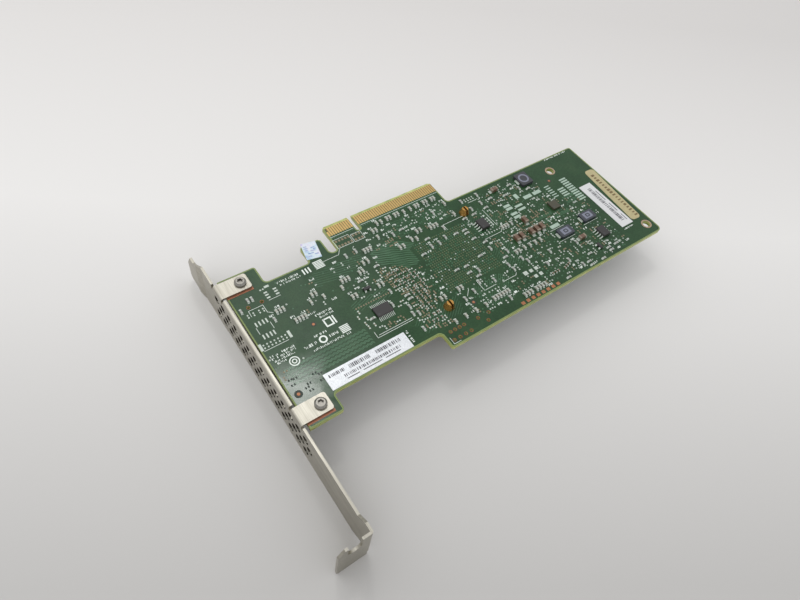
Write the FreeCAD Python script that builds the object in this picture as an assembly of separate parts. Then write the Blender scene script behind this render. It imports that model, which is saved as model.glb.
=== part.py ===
import FreeCAD, Part
import math
import os

from FreeCAD import Vector

# A plug-in host bus adapter that lies with its component side down.
# Frame: X runs from the bracket to the far end, Y points out of the edge connector, Z is up.
# Origin: centre of the key notch, at the connector's tip, on the board's middle plane. Millimetres.

# Circuit board
BOARD_T = 1.57
CARD_LENGTH = 167.65
CARD_HEIGHT = 68.7
BRACKET_INNER_X = -58.14
BOARD_GAP = 1.34
CONNECTOR_LEFT = -12.15
CONNECTOR_RIGHT = 39.15
SHOULDER_DEPTH = 12.7
KEY_WIDTH = 1.9
KEY_DEPTH = 7.9
TIP_CHAMFER = 0.9
BEVEL_LENGTH = 1.3
BEVEL_DEPTH = 0.45
FINGER_WIDTH = 8.6
FINGER_SLOT = 3.55
FINGER_TIP_Y = -4.6
EAR_TOP_Y = -4.6
UPPER_EAR_REACH = 14.3
LOWER_EAR_REACH = 12.4
RECESS_RIGHT = -1.1
RECESS_DEPTH = 6.8
INNER_ROUND = 1.5
OUTER_ROUND = 1.0
FAR_ROUND = 2.0
DRILL_R = 0.5
DRILL_SIDES = 8
HOLE_SIDES = 12
FAR_HOLE_R = 1.6
UPPER_FAR_HOLE_TO_END = 18.8
UPPER_FAR_HOLE_Y = -20.0
LOWER_FAR_HOLE_TO_END = 3.9
LOWER_FAR_HOLE_TO_EDGE = 5.2

# Edge connector contacts
COPPER_T = 0.05
CONTACT_PITCH = 1.0
CONTACT_WIDTH = 0.7
CONTACT_END = 5.5
CONTACTS_BEFORE_KEY = 11
CONTACTS_AFTER_KEY = 38
KEY_TO_CONTACT = 1.5
SHORT_CONTACT_START = 3.2
SHORT_CONTACTS_SOLDER_SIDE = (1,)
SHORT_CONTACTS_COMPONENT_SIDE = (17, 31, 48)

# Mounting bracket
SHEET_T = 0.86
BRACKET_WIDTH = 18.42
BRACKET_LENGTH = 120.02
TONGUE_TIP_Y = 14.62
BENT_TAB_REACH = 11.43
TONGUE_WIDTH = 14.0
TONGUE_OFFSET = 1.65
TONGUE_ROUND = 1.8
TONGUE_SLOPE_Y = 3.0
TONGUE_SLOPE_Z = 5.2
TAPER_START_Y = 3.5
TAPER_LENGTH = 5.5
JOGGLE = 0.86
JOGGLE_LENGTH = 3.0
JOGGLE_ROUND = 0.5
BOARD_TAB_WIDTH = 6.6
BOARD_TAB_REACH = 11.2
BOARD_TAB_ROUND = 1.0
UPPER_TAB_Y = -9.2
LOWER_TAB_MARGIN = 5.2
FOLD_ROOT = 3.0
RELIEF_WIDTH = 1.0
RELIEF_DEPTH = 1.9
LIP_REACH = 0.55
LOWER_FLANGE_REACH = 2.2
VENT_R = 1.6
VENT_SIDES = 12
VENT_PITCH = 4.72
VENT_COUNT = 14
VENT_FIRST_Y = -8.1
BENT_TAB_WIDTH = 21.59
NOTCH_WIDTH = 4.6
NOTCH_DEPTH = 6.8
NOTCH_TO_FACE = 5.1
PRONG_SLOPE_X = 2.2
PRONG_SLOPE_Z = 3.4
TAB_CORNER = 0.8
HEEL_TAPER_LENGTH = 8.0
HEEL_TAPER_DEPTH = 3.0
HEEL_RISE_LENGTH = 3.6
HEEL_RISE_TO_BEND = 3.4

# Cutters run past the sheet by this much; rounded ends keep this much flat
OVERRUN = 1.0
END_FLAT = 0.05

# Bracket screws and nuts
SCREW_R = 1.5
SCREW_CLEARANCE = 0.15
SCREW_TO_TAB_END = 3.15
HEAD_R = 2.1
HEAD_H = 1.3
HEAD_SLOPE = 0.6
DRIVE_R = 1.1
DRIVE_LOBE = 0.25
DRIVE_DEPTH = 0.8
NUT_FLATS = 5.5
NUT_H = 2.4
THREAD_CLEARANCE = 0.05
SCREW_END = 0.6
GROUND_PAD_MARGIN = 0.75

# Controller and heat sink on the component side
SINK_X = 24.8
SINK_Y = -37.7
SUBSTRATE_SIZE = 27.0
SUBSTRATE_T = 1.5
LID_SIZE = 20.0
LID_T = 1.2
LID_BEVEL = 1.0
THERMAL_PAD_T = 0.4
SINK_SIZE = 40.0
SINK_BASE_T = 2.6
SINK_HEIGHT = 10.6
FIN_T = 0.9
FIN_COUNT = 13
FIN_CUT_COUNT = 2
FIN_CUT_WIDTH = 1.6
PIN_TO_EDGE = 3.3
PIN_R = 1.3
PIN_HOLE_CLEARANCE = 0.15
PIN_HEAD_R = 3.0
PIN_HEAD_T = 1.0
BARB_R = 2.1
BARB_TIP_R = 1.25
BARB_HEIGHT = 2.5
PIN_SLOT = 0.8
PIN_SLOT_DEPTH = 4.0
PIN_POCKET = 8.4
SPRING_LENGTH = 4.6
SPRING_WIRE = 0.5
SPRING_R = 2.1
SPRING_TURNS = 3
SPRING_SIDES = 12
SPRING_PLAY = 0.05

# Internal cable ports on the component side
PORT_WIDTH = 20.6
PORT_HEIGHT = 8.5
PORT_DEPTH = 15.0
PORT_WALL = 0.5
PORT_GAP = 0.6
PORT_SETBACK = 5.0
PORT_MOUTH_DEPTH = 6.0
NOSE_WIDTH = 16.4
NOSE_HEIGHT = 4.4
NOSE_LENGTH = 4.0
CARD_SLOT_WIDTH = 15.0
CARD_SLOT_HEIGHT = 1.3
LATCH_WINDOW_X = 2.6
LATCH_WINDOW_Y = 1.6
LATCH_SPACING = 10.0

# Chips with gull-wing leads: body across the leads, body along the leads, height, leads a side, pitch, span
DRIVER_CHIP = (4.4, 6.5, 0.95, 10, 0.65, 6.4)
SWITCH_CHIP = (3.9, 4.9, 1.5, 4, 1.27, 6.0)
TRANSISTOR = (1.3, 2.9, 1.0, 2, 1.9, 2.4)
CHIP_STANDOFF = 0.1
CHIP_DRAFT = 0.12
LEAD_T = 0.15
LEAD_FILL = 0.36
LEAD_RISER = 0.35
DRIVER_CHIP_AT = (-13.35, -43.7)
SWITCH_CHIPS_AT = ((43.8, -29.9), (85.0, -57.4))
TRANSISTORS_AT = ((-13.1, -33.2, True), (78.3, -62.1, False))

# Leadless chips, crystal and inductors
LEADLESS_SIZE = 4.0
LEADLESS_T = 0.9
LEADLESS_AT = (77.5, -36.3)
FLASH_LENGTH = 11.0
FLASH_WIDTH = 9.0
FLASH_T = 1.2
FLASH_AT = (-30.0, -27.0)
CRYSTAL_LENGTH = 5.0
CRYSTAL_WIDTH = 3.2
CRYSTAL_T = 1.2
CRYSTAL_BEVEL = 0.6
CRYSTAL_AT = (-9.0, -30.0)
INDUCTOR_LENGTH = 7.0
INDUCTOR_WIDTH = 4.4
INDUCTOR_T = 1.3
INDUCTOR_BEVEL = 0.4
INDUCTORS_AT = ((71.0, -49.7), (85.4, -47.9))
FILTER_LENGTH = 6.0
FILTER_WIDTH = 6.6
FILTER_AT = (75.8, -18.5)
COIL_SIZE = 10.0
COIL_T = 4.2
COILS_AT = ((66.0, -33.0), (66.0, -48.0))
TERMINAL_T = 0.2
TERMINAL_WIDTH = 2.6
TERMINAL_RISE_SHARE = 0.45
TERMINAL_FOOT = 0.7
BULK_LENGTH = 7.3
BULK_WIDTH = 4.3
BULK_T = 2.8
BULK_BEVEL = 0.5
BULK_AT = ((82.0, -24.0), (82.0, -31.0), (82.0, -38.0), (82.0, -45.0))

# Chip parts: length, width, height
LARGE_CAPACITOR = (3.2, 1.7, 1.5)
CHIP_CAPACITOR = (1.6, 0.85, 0.8)
CHIP_RESISTOR = (1.6, 0.85, 0.5)
SMALL_CAPACITOR = (1.0, 0.5, 0.5)
STATUS_LIGHT = (1.6, 0.8, 0.7)

# Parts right of the heat sink's centre are drawn for this reach to the far end and follow the card's length
DRAWN_REACH = 84.71

# Rows of chip parts: first x, first y, how many, step in x, step in y, axis of each part's length
LARGE_CAPACITOR_ROWS = (
    (51.2, -42.4, 2, 2.7, 0.0, "y"),
    (58.9, -42.6, 3, 2.8, 0.0, "y"),
    (60.6, -36.6, 1, 0.0, 0.0, "y"),
    (60.4, -17.2, 1, 0.0, 0.0, "x"),
    (75.2, -55.2, 1, 0.0, 0.0, "x"),
)
CHIP_CAPACITOR_ROWS = (
    (7.4, -8.8, 2, 2.0, 0.0, "y"),
    (12.2, -8.5, 2, 1.4, 0.0, "y"),
    (16.1, -8.5, 2, 1.4, 0.0, "y"),
    (20.2, -8.8, 1, 0.0, 0.0, "y"),
    (23.4, -8.7, 1, 0.0, 0.0, "y"),
    (26.0, -8.5, 2, 1.3, 0.0, "y"),
    (30.0, -8.5, 2, 1.4, 0.0, "y"),
    (34.0, -8.5, 2, 1.3, 0.0, "y"),
    (37.3, -13.0, 2, 0.0, -6.6, "y"),
    (3.8, -11.4, 2, 1.5, 0.0, "y"),
    (3.9, -14.8, 1, 0.0, 0.0, "y"),
    (-45.0, -25.8, 3, 1.3, 0.0, "y"),
    (-31.2, -25.7, 2, 1.5, 0.0, "y"),
    (-33.0, -28.3, 2, 5.1, 0.0, "y"),
    (-41.1, -32.2, 4, 1.25, 0.0, "y"),
    (-19.0, -25.8, 3, 1.4, 0.0, "y"),
    (-20.4, -28.3, 1, 0.0, 0.0, "y"),
    (-19.3, -33.6, 2, 1.5, 0.0, "y"),
    (-11.4, -25.8, 2, 1.5, 0.0, "y"),
    (-7.8, -22.6, 2, 2.0, 0.0, "y"),
    (-4.3, -18.0, 3, 1.3, 0.0, "y"),
    (-8.6, -34.0, 2, 1.7, 0.0, "y"),
    (8.4, -23.2, 2, 1.7, 0.0, "y"),
    (18.7, -19.7, 2, 1.7, 0.0, "y"),
    (24.6, -20.7, 3, 1.55, 0.0, "y"),
    (14.6, -22.0, 2, 2.0, -0.7, "y"),
    (24.6, -60.1, 6, 1.4, 0.0, "y"),
    (35.8, -64.8, 3, 1.6, 0.0, "y"),
    (41.5, -64.8, 4, 1.5, 0.0, "y"),
    (6.2, -60.7, 4, 4.7, 0.0, "y"),
    (46.5, -47.5, 2, 1.6, 0.0, "y"),
    (51.0, -47.4, 4, 2.8, 0.0, "y"),
    (50.0, -35.0, 3, 1.35, 0.0, "y"),
    (7.6, -50.2, 2, 1.7, 0.0, "y"),
    (15.7, -50.0, 2, 1.6, 0.0, "y"),
)
CHIP_RESISTOR_ROWS = (
    (-51.2, -16.8, 2, 1.5, 0.0, "y"),
    (-55.2, -19.8, 1, 0.0, 0.0, "y"),
    (-47.0, -28.2, 1, 0.0, 0.0, "y"),
    (-11.5, -16.6, 1, 0.0, 0.0, "y"),
    (-7.1, -16.3, 1, 0.0, 0.0, "y"),
    (-4.2, -26.2, 1, 0.0, 0.0, "x"),
    (9.9, -16.5, 1, 0.0, 0.0, "y"),
    (14.2, -16.0, 1, 0.0, 0.0, "x"),
    (20.2, -24.9, 1, 0.0, 0.0, "x"),
    (19.4, -28.7, 2, 3.7, 0.0, "y"),
    (26.8, -27.5, 1, 0.0, 0.0, "y"),
    (14.5, -30.5, 1, 0.0, 0.0, "x"),
    (-13.0, -29.0, 1, 0.0, 0.0, "x"),
    (30.2, -15.0, 1, 0.0, 0.0, "y"),
    (29.2, -23.4, 1, 0.0, 0.0, "y"),
    (31.7, -28.3, 2, 4.2, -0.2, "x"),
    (35.7, -30.2, 1, 0.0, 0.0, "x"),
    (36.4, -33.8, 1, 0.0, 0.0, "x"),
    (39.3, -37.3, 1, 0.0, 0.0, "x"),
    (44.2, -15.6, 2, 8.1, 0.0, "y"),
    (45.4, -20.8, 2, 5.6, 0.8, "y"),
    (39.8, -23.7, 2, 4.8, 0.0, "x"),
    (51.3, -23.2, 1, 0.0, 0.0, "x"),
    (56.2, -20.0, 1, 0.0, 0.0, "x"),
    (54.9, -34.8, 1, 0.0, 0.0, "y"),
    (-2.0, -42.7, 2, 0.2, -1.8, "x"),
    (-9.0, -43.4, 1, 0.0, 0.0, "y"),
    (-4.2, -47.3, 1, 0.0, 0.0, "y"),
    (-4.9, -50.3, 2, 2.0, -0.8, "y"),
    (-18.2, -44.8, 1, 0.0, 0.0, "x"),
    (-6.4, -38.2, 1, 0.0, 0.0, "y"),
    (20.9, -42.7, 2, 4.3, -0.4, "x"),
    (33.1, -41.8, 1, 0.0, 0.0, "x"),
    (38.8, -40.8, 1, 0.0, 0.0, "y"),
    (24.3, -46.1, 1, 0.0, 0.0, "x"),
    (28.0, -46.8, 1, 0.0, 0.0, "y"),
    (26.5, -49.0, 1, 0.0, 0.0, "x"),
    (41.3, -47.2, 1, 0.0, 0.0, "x"),
    (43.8, -45.2, 1, 0.0, 0.0, "y"),
    (24.5, -51.3, 1, 0.0, 0.0, "y"),
    (30.2, -53.5, 2, 0.0, -9.4, "y"),
    (39.7, -50.7, 2, 0.5, -2.6, "y"),
    (46.5, -50.8, 2, 1.3, -2.2, "y"),
    (15.3, -54.8, 2, 5.0, 1.2, "y"),
    (-5.3, -57.3, 1, 0.0, 0.0, "y"),
    (53.6, -58.0, 1, 0.0, 0.0, "y"),
    (58.7, -53.8, 1, 0.0, 0.0, "y"),
    (63.0, -21.7, 2, 5.5, 3.9, "x"),
    (71.0, -21.3, 1, 0.0, 0.0, "y"),
    (74.6, -23.4, 1, 0.0, 0.0, "x"),
    (71.6, -55.8, 1, 0.0, 0.0, "y"),
    (72.4, -62.8, 1, 0.0, 0.0, "x"),
    (62.4, -60.9, 1, 0.0, 0.0, "y"),
    (66.0, -65.4, 1, 0.0, 0.0, "y"),
    (69.2, -65.6, 2, 0.0, -1.8, "x"),
    (75.6, -67.4, 1, 0.0, 0.0, "x"),
    (56.4, -67.2, 1, 0.0, 0.0, "x"),
    (81.6, -64.4, 2, 0.2, -1.5, "x"),
    (86.0, -64.4, 1, 0.0, 0.0, "x"),
)
SMALL_CAPACITOR_ROWS = (
    (-0.6, -33.6, 3, 1.9, 0.0, "x"),
    (-2.2, -35.7, 4, 1.9, 0.0, "x"),
    (-3.6, -37.6, 4, 2.0, 0.0, "x"),
    (3.2, -38.8, 2, 0.0, -1.6, "x"),
    (0.3, -39.3, 7, 0.0, -2.0, "y"),
    (2.4, -41.4, 6, 0.0, -2.0, "y"),
    (4.5, -41.6, 4, 0.0, -2.0, "y"),
    (-0.6, -54.2, 3, 1.9, 0.0, "y"),
    (-0.6, -56.6, 3, 1.9, 0.0, "y"),
    (4.7, -33.4, 3, 0.0, -1.9, "y"),
    (6.3, -35.6, 5, 0.0, -1.9, "y"),
    (-2.5, -31.6, 3, 1.9, 0.0, "x"),
    (52.3, -62.7, 3, 1.4, 0.0, "y"),
    (58.4, -63.0, 3, 1.4, 0.4, "y"),
)
DECOUPLING_COUNT = 4
DECOUPLING_STEP = 4.0
DECOUPLING_TO_SINK = 3.1
STATUS_LIGHT_ROWS = ((-53.0, -27.0, 2, 0.0, -4.0, "y"),)

# Open plated holes: first x, first y, how many, step in x, step in y
PLATED_HOLE_ROWS = (
    (2.0, -63.2, 4, 2.0, 0.0),
    (1.2, -66.5, 4, 2.54, 0.0),
    (14.1, -63.6, 2, 4.9, 0.0),
    (16.8, -66.2, 1, 0.0, 0.0),
    (-52.3, -19.4, 2, 5.1, 0.0),
)

# Labels
LABEL_T = 0.1
WIDE_LABEL_LENGTH = 31.9
WIDE_LABEL_HEIGHT = 6.5
WIDE_LABEL_X = -28.3
WIDE_LABEL_TO_RECESS = 0.6
WHITE_LABEL_WIDTH = 6.5
WHITE_LABEL_LENGTH = 25.8
WHITE_LABEL_TO_END = 11.4
WHITE_LABEL_Y = -46.8
TAN_LABEL_WIDTH = 5.0
TAN_LABEL_LENGTH = 31.3
TAN_LABEL_ROUND = 1.6
TAN_LABEL_TO_END = 4.1
TAN_LABEL_Y = -43.6
TAN_LABEL_TURN = -4.0
STICKER_LENGTH = 7.9
STICKER_WIDTH = 5.8
STICKER_TURN = -11.0
STICKER_SHIFT_X = -1.2
STICKER_SHIFT_Y = 0.7

# Places that follow from the sizes above
TOP = BOARD_T / 2
UNDER = -BOARD_T / 2
BOARD_LEFT = BRACKET_INNER_X + BOARD_GAP
FAR_X = BRACKET_INNER_X + CARD_LENGTH
CABLE_EDGE_Y = -CARD_HEIGHT
RECESS_Y = CABLE_EDGE_Y + RECESS_DEPTH
RECESS_LEFT = BOARD_LEFT + LOWER_EAR_REACH
FINGER_RIGHT = CONNECTOR_LEFT - FINGER_SLOT
FINGER_LEFT = FINGER_RIGHT - FINGER_WIDTH
BRACKET_OUTER_X = BRACKET_INNER_X - SHEET_T
BRACKET_TOP = TOP + COPPER_T + SHEET_T
BRACKET_LOW = BRACKET_TOP - BRACKET_WIDTH
BENT_TAB_TOP = BRACKET_LOW + BENT_TAB_WIDTH
TAB_TIP_X = BRACKET_INNER_X - BENT_TAB_REACH
BEND_Y = TONGUE_TIP_Y - BRACKET_LENGTH
BOARD_TAB_END = BRACKET_INNER_X + BOARD_TAB_REACH
LOWER_TAB_Y = CABLE_EDGE_Y + LOWER_TAB_MARGIN
SCREW_X = BOARD_TAB_END - SCREW_TO_TAB_END
SCREW_HOLE_R = SCREW_R + SCREW_CLEARANCE
SCREW_PLACES = ((SCREW_X, UPPER_TAB_Y), (SCREW_X, LOWER_TAB_Y))
UPPER_FAR_HOLE = (FAR_X - UPPER_FAR_HOLE_TO_END, UPPER_FAR_HOLE_Y)
LOWER_FAR_HOLE = (FAR_X - LOWER_FAR_HOLE_TO_END, CABLE_EDGE_Y + LOWER_FAR_HOLE_TO_EDGE)
PIN_OFFSET = SINK_SIZE / 2 - PIN_TO_EDGE
PIN_PLACES = ((SINK_X - PIN_OFFSET, SINK_Y - PIN_OFFSET), (SINK_X + PIN_OFFSET, SINK_Y + PIN_OFFSET))
PIN_HOLE_R = PIN_R + PIN_HOLE_CLEARANCE
STRETCH = (FAR_X - SINK_X) / DRAWN_REACH
LID_Z = UNDER - SUBSTRATE_T
PAD_Z = LID_Z - LID_T
SINK_Z = PAD_Z - THERMAL_PAD_T
SINK_BASE_LOW = SINK_Z - SINK_BASE_T
PIN_HEAD_Z = SINK_BASE_LOW - SPRING_LENGTH
PORT_FRONT_Y = RECESS_Y + PORT_SETBACK
PORT_CENTRE_X = (RECESS_LEFT + RECESS_RIGHT) / 2
PORT_STEP = PORT_WIDTH + PORT_GAP
PORTS = {"a": PORT_CENTRE_X - PORT_STEP / 2, "b": PORT_CENTRE_X + PORT_STEP / 2}


def on_xy(z):
    return lambda a, b: Vector(a, b, z)


def on_xz(y):
    return lambda a, b: Vector(a, y, b)


def on_yz(x):
    return lambda a, b: Vector(x, a, b)


def rounded_face(corners, place):
    """Face whose corners (a, b, radius) are rounded by tangent arcs, set on a plane by place(a, b)."""
    spots = [Vector(a, b, 0) for a, b, radius in corners]
    pieces = []
    for index, spot in enumerate(spots):
        radius = corners[index][2]
        back = (spots[index - 1] - spot).normalize()
        ahead = (spots[(index + 1) % len(spots)] - spot).normalize()
        half = back.getAngle(ahead) / 2
        reach = radius / math.tan(half)
        middle = spot
        if radius:
            middle = spot + (back + ahead).normalize() * (radius / math.sin(half) - radius)
        pieces.append([place(p.x, p.y) for p in (spot + back * reach, middle, spot + ahead * reach)])
    edges = []
    for index, (start, middle, end) in enumerate(pieces):
        if corners[index][2]:
            edges.append(Part.Arc(start, middle, end).toShape())
        following = pieces[(index + 1) % len(pieces)][0]
        if end.distanceToPoint(following) > 1e-6:
            edges.append(Part.LineSegment(end, following).toShape())
    return Part.Face(Part.Wire(edges))


def sharp(points):
    return [(a, b, 0) for a, b in points]


def block(x_low, x_high, y_low, y_high, z_low, z_high):
    return Part.makeBox(x_high - x_low, y_high - y_low, z_high - z_low, Vector(x_low, y_low, z_low))


def centred_block(x, y, length, width, z_low, z_high):
    return block(x - length / 2, x + length / 2, y - width / 2, y + width / 2, z_low, z_high)


def upright(x, y, radius, z_low, z_high):
    return Part.makeCylinder(radius, z_high - z_low, Vector(x, y, z_low))


def polygon_points(a, b, flat_r, sides):
    """Corners of a regular polygon whose flats lie at flat_r from its centre."""
    corner_r = flat_r / math.cos(math.pi / sides)
    angles = [2 * math.pi * (index + 0.5) / sides for index in range(sides)]
    return sharp([(a + corner_r * math.cos(angle), b + corner_r * math.sin(angle)) for angle in angles])


def upright_prism(x, y, flat_r, sides, z_low, z_high):
    face = rounded_face(polygon_points(x, y, flat_r, sides), on_xy(z_low))
    return face.extrude(Vector(0, 0, z_high - z_low))


def edges_where(shape, test):
    return [edge for edge in shape.Edges if all(test(vertex.Point) for vertex in edge.Vertexes)]


def near(value, target):
    return abs(value - target) < 1e-4


def placed(place):
    """A place on the board, moved with the far end if it is right of the heat sink's centre."""
    x, y = place
    return (SINK_X + (x - SINK_X) * STRETCH, y) if x > SINK_X else (x, y)


def row_places(row):
    x, y, count, step_x, step_y = row[:5]
    return [placed((x + step_x * index, y + step_y * index)) for index in range(count)]


def save(name, shape):
    solids = shape.Solids
    result = solids[0] if len(solids) == 1 else Part.makeCompound(solids)
    result.exportStep(os.path.join("parts", name + ".step"))
    state = "valid" if result.isValid() else "NOT VALID"
    print(name, len(solids), "solids", state, round(result.Volume, 3))


def board_outline():
    key = KEY_WIDTH / 2
    slot_round = FINGER_SLOT / 2 - END_FLAT
    key_round = key - END_FLAT
    return [
        (CONNECTOR_LEFT, -TIP_CHAMFER, 0),
        (CONNECTOR_LEFT + TIP_CHAMFER, 0, 0),
        (-key, 0, 0),
        (-key, -KEY_DEPTH, key_round),
        (key, -KEY_DEPTH, key_round),
        (key, 0, 0),
        (CONNECTOR_RIGHT - TIP_CHAMFER, 0, 0),
        (CONNECTOR_RIGHT, -TIP_CHAMFER, 0),
        (CONNECTOR_RIGHT, -SHOULDER_DEPTH, INNER_ROUND),
        (FAR_X, -SHOULDER_DEPTH, OUTER_ROUND),
        (FAR_X, CABLE_EDGE_Y, FAR_ROUND),
        (RECESS_RIGHT, CABLE_EDGE_Y, OUTER_ROUND),
        (RECESS_RIGHT, RECESS_Y, INNER_ROUND),
        (RECESS_LEFT, RECESS_Y, INNER_ROUND),
        (RECESS_LEFT, CABLE_EDGE_Y, OUTER_ROUND),
        (BOARD_LEFT, CABLE_EDGE_Y, 0),
        (BOARD_LEFT, EAR_TOP_Y, 0),
        (BOARD_LEFT + UPPER_EAR_REACH, EAR_TOP_Y, OUTER_ROUND),
        (BOARD_LEFT + UPPER_EAR_REACH, -SHOULDER_DEPTH, INNER_ROUND),
        (FINGER_LEFT, -SHOULDER_DEPTH, INNER_ROUND),
        (FINGER_LEFT, FINGER_TIP_Y - TIP_CHAMFER, 0),
        (FINGER_LEFT + TIP_CHAMFER, FINGER_TIP_Y, 0),
        (FINGER_RIGHT - TIP_CHAMFER, FINGER_TIP_Y, 0),
        (FINGER_RIGHT, FINGER_TIP_Y - TIP_CHAMFER, 0),
        (FINGER_RIGHT, -SHOULDER_DEPTH, slot_round),
        (CONNECTOR_LEFT, -SHOULDER_DEPTH, slot_round),
    ]


def circuit_board():
    board = rounded_face(board_outline(), on_xy(UNDER)).extrude(Vector(0, 0, BOARD_T))
    drills = [upright_prism(x, y, SCREW_HOLE_R, HOLE_SIDES, UNDER, TOP) for x, y in SCREW_PLACES]
    drills += [upright(x, y, FAR_HOLE_R, UNDER, TOP) for x, y in (UPPER_FAR_HOLE, LOWER_FAR_HOLE)]
    drills += [upright_prism(x, y, PIN_HOLE_R, HOLE_SIDES, UNDER, TOP) for x, y in PIN_PLACES]
    for row in PLATED_HOLE_ROWS:
        drills += [upright_prism(x, y, DRILL_R, DRILL_SIDES, UNDER, TOP) for x, y in row_places(row)]
    for side in (1, -1):
        wedge = sharp([(0, side * (TOP - BEVEL_DEPTH)), (0, side * TOP), (-BEVEL_LENGTH, side * TOP)])
        width = Vector(CONNECTOR_RIGHT - CONNECTOR_LEFT, 0, 0)
        drills.append(rounded_face(wedge, on_yz(CONNECTOR_LEFT)).extrude(width))
    return board.cut(drills)


def edge_contacts(z_low, z_high, short_contacts):
    contacts = []
    for number in range(1, CONTACTS_BEFORE_KEY + CONTACTS_AFTER_KEY + 1):
        if number <= CONTACTS_BEFORE_KEY:
            x = -KEY_TO_CONTACT - (CONTACTS_BEFORE_KEY - number) * CONTACT_PITCH
        else:
            x = KEY_TO_CONTACT + (number - CONTACTS_BEFORE_KEY - 1) * CONTACT_PITCH
        start = SHORT_CONTACT_START if number in short_contacts else BEVEL_LENGTH
        half = CONTACT_WIDTH / 2
        contacts.append(block(x - half, x + half, -CONTACT_END, -start, z_low, z_high))
    return Part.makeCompound(contacts)


def folded_edge(y_low, y_high, reach, edge_z, turn):
    """Edge of the sheet folded inwards over a stretch; turn is 1 at the top and -1 at the bottom."""
    profile = [
        (BRACKET_OUTER_X, edge_z, SHEET_T),
        (BRACKET_INNER_X + reach, edge_z, 0),
        (BRACKET_INNER_X + reach, edge_z - turn * SHEET_T, 0),
        (BRACKET_INNER_X, edge_z - turn * SHEET_T, 0),
        (BRACKET_INNER_X, edge_z - turn * FOLD_ROOT, 0),
        (BRACKET_OUTER_X, edge_z - turn * FOLD_ROOT, 0),
    ]
    return rounded_face(profile, on_xz(y_low)).extrude(Vector(0, y_high - y_low, 0))


def sheet_window(y_low, y_high, z_low, z_high):
    return block(BRACKET_OUTER_X - OVERRUN, BRACKET_INNER_X + OVERRUN, y_low, y_high, z_low, z_high)


def bracket_side_profile():
    joggle_start = TAPER_START_Y
    joggle_end = TAPER_START_Y + JOGGLE_LENGTH
    return [
        (TAB_TIP_X, BEND_Y, 0),
        (BRACKET_INNER_X, BEND_Y, SHEET_T),
        (BRACKET_INNER_X, joggle_start, JOGGLE_ROUND),
        (BRACKET_INNER_X - JOGGLE, joggle_end, JOGGLE_ROUND),
        (BRACKET_INNER_X - JOGGLE, TONGUE_TIP_Y, 0),
        (BRACKET_OUTER_X - JOGGLE, TONGUE_TIP_Y, 0),
        (BRACKET_OUTER_X - JOGGLE, joggle_end, JOGGLE_ROUND),
        (BRACKET_OUTER_X, joggle_start, JOGGLE_ROUND),
        (BRACKET_OUTER_X, BEND_Y + SHEET_T, 0),
        (TAB_TIP_X, BEND_Y + SHEET_T, 0),
    ]


def bracket_outline_cuts():
    """Waste beside the tongue, the strip's upper edge and its heel, cut across the sheet."""
    tongue_low = BRACKET_LOW + TONGUE_OFFSET
    tongue_high = tongue_low + TONGUE_WIDTH
    tip_high = tongue_high - TONGUE_SLOPE_Z
    taper_end = TAPER_START_Y + TAPER_LENGTH
    beyond = TONGUE_TIP_Y + OVERRUN
    above = BENT_TAB_TOP + OVERRUN
    below = BRACKET_LOW - OVERRUN
    heel_end = BEND_Y + SHEET_T
    rise_end = BEND_Y + HEEL_RISE_TO_BEND
    rise_start = rise_end + HEEL_RISE_LENGTH
    across = Vector(JOGGLE + SHEET_T + 2 * OVERRUN, 0, 0)
    side = on_yz(BRACKET_OUTER_X - JOGGLE - OVERRUN)
    outlines = [
        sharp([(rise_end, BENT_TAB_TOP), (rise_start, BRACKET_TOP), (TAPER_START_Y, BRACKET_TOP),
               (taper_end, tongue_high), (TONGUE_TIP_Y - TONGUE_SLOPE_Y, tongue_high),
               (TONGUE_TIP_Y, tip_high), (beyond, tip_high), (beyond, above), (rise_end, above)]),
        [(TAPER_START_Y, BRACKET_LOW, 0), (taper_end, tongue_low, 0),
         (TONGUE_TIP_Y, tongue_low, TONGUE_ROUND), (TONGUE_TIP_Y, tongue_low + 2 * TONGUE_ROUND, 0),
         (beyond, tongue_low + 2 * TONGUE_ROUND, 0), (beyond, below, 0), (TAPER_START_Y, below, 0)],
        sharp([(heel_end + HEEL_TAPER_LENGTH, BRACKET_LOW), (heel_end, BRACKET_LOW + HEEL_TAPER_DEPTH),
               (heel_end, below), (heel_end + HEEL_TAPER_LENGTH, below)]),
    ]
    cuts = [rounded_face(outline, side).extrude(across) for outline in outlines]
    heel_low = BRACKET_LOW + HEEL_TAPER_DEPTH
    inside = BRACKET_INNER_X + OVERRUN
    cuts.append(block(BRACKET_OUTER_X, inside, BEND_Y - OVERRUN, heel_end, below, heel_low))
    return cuts


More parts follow.
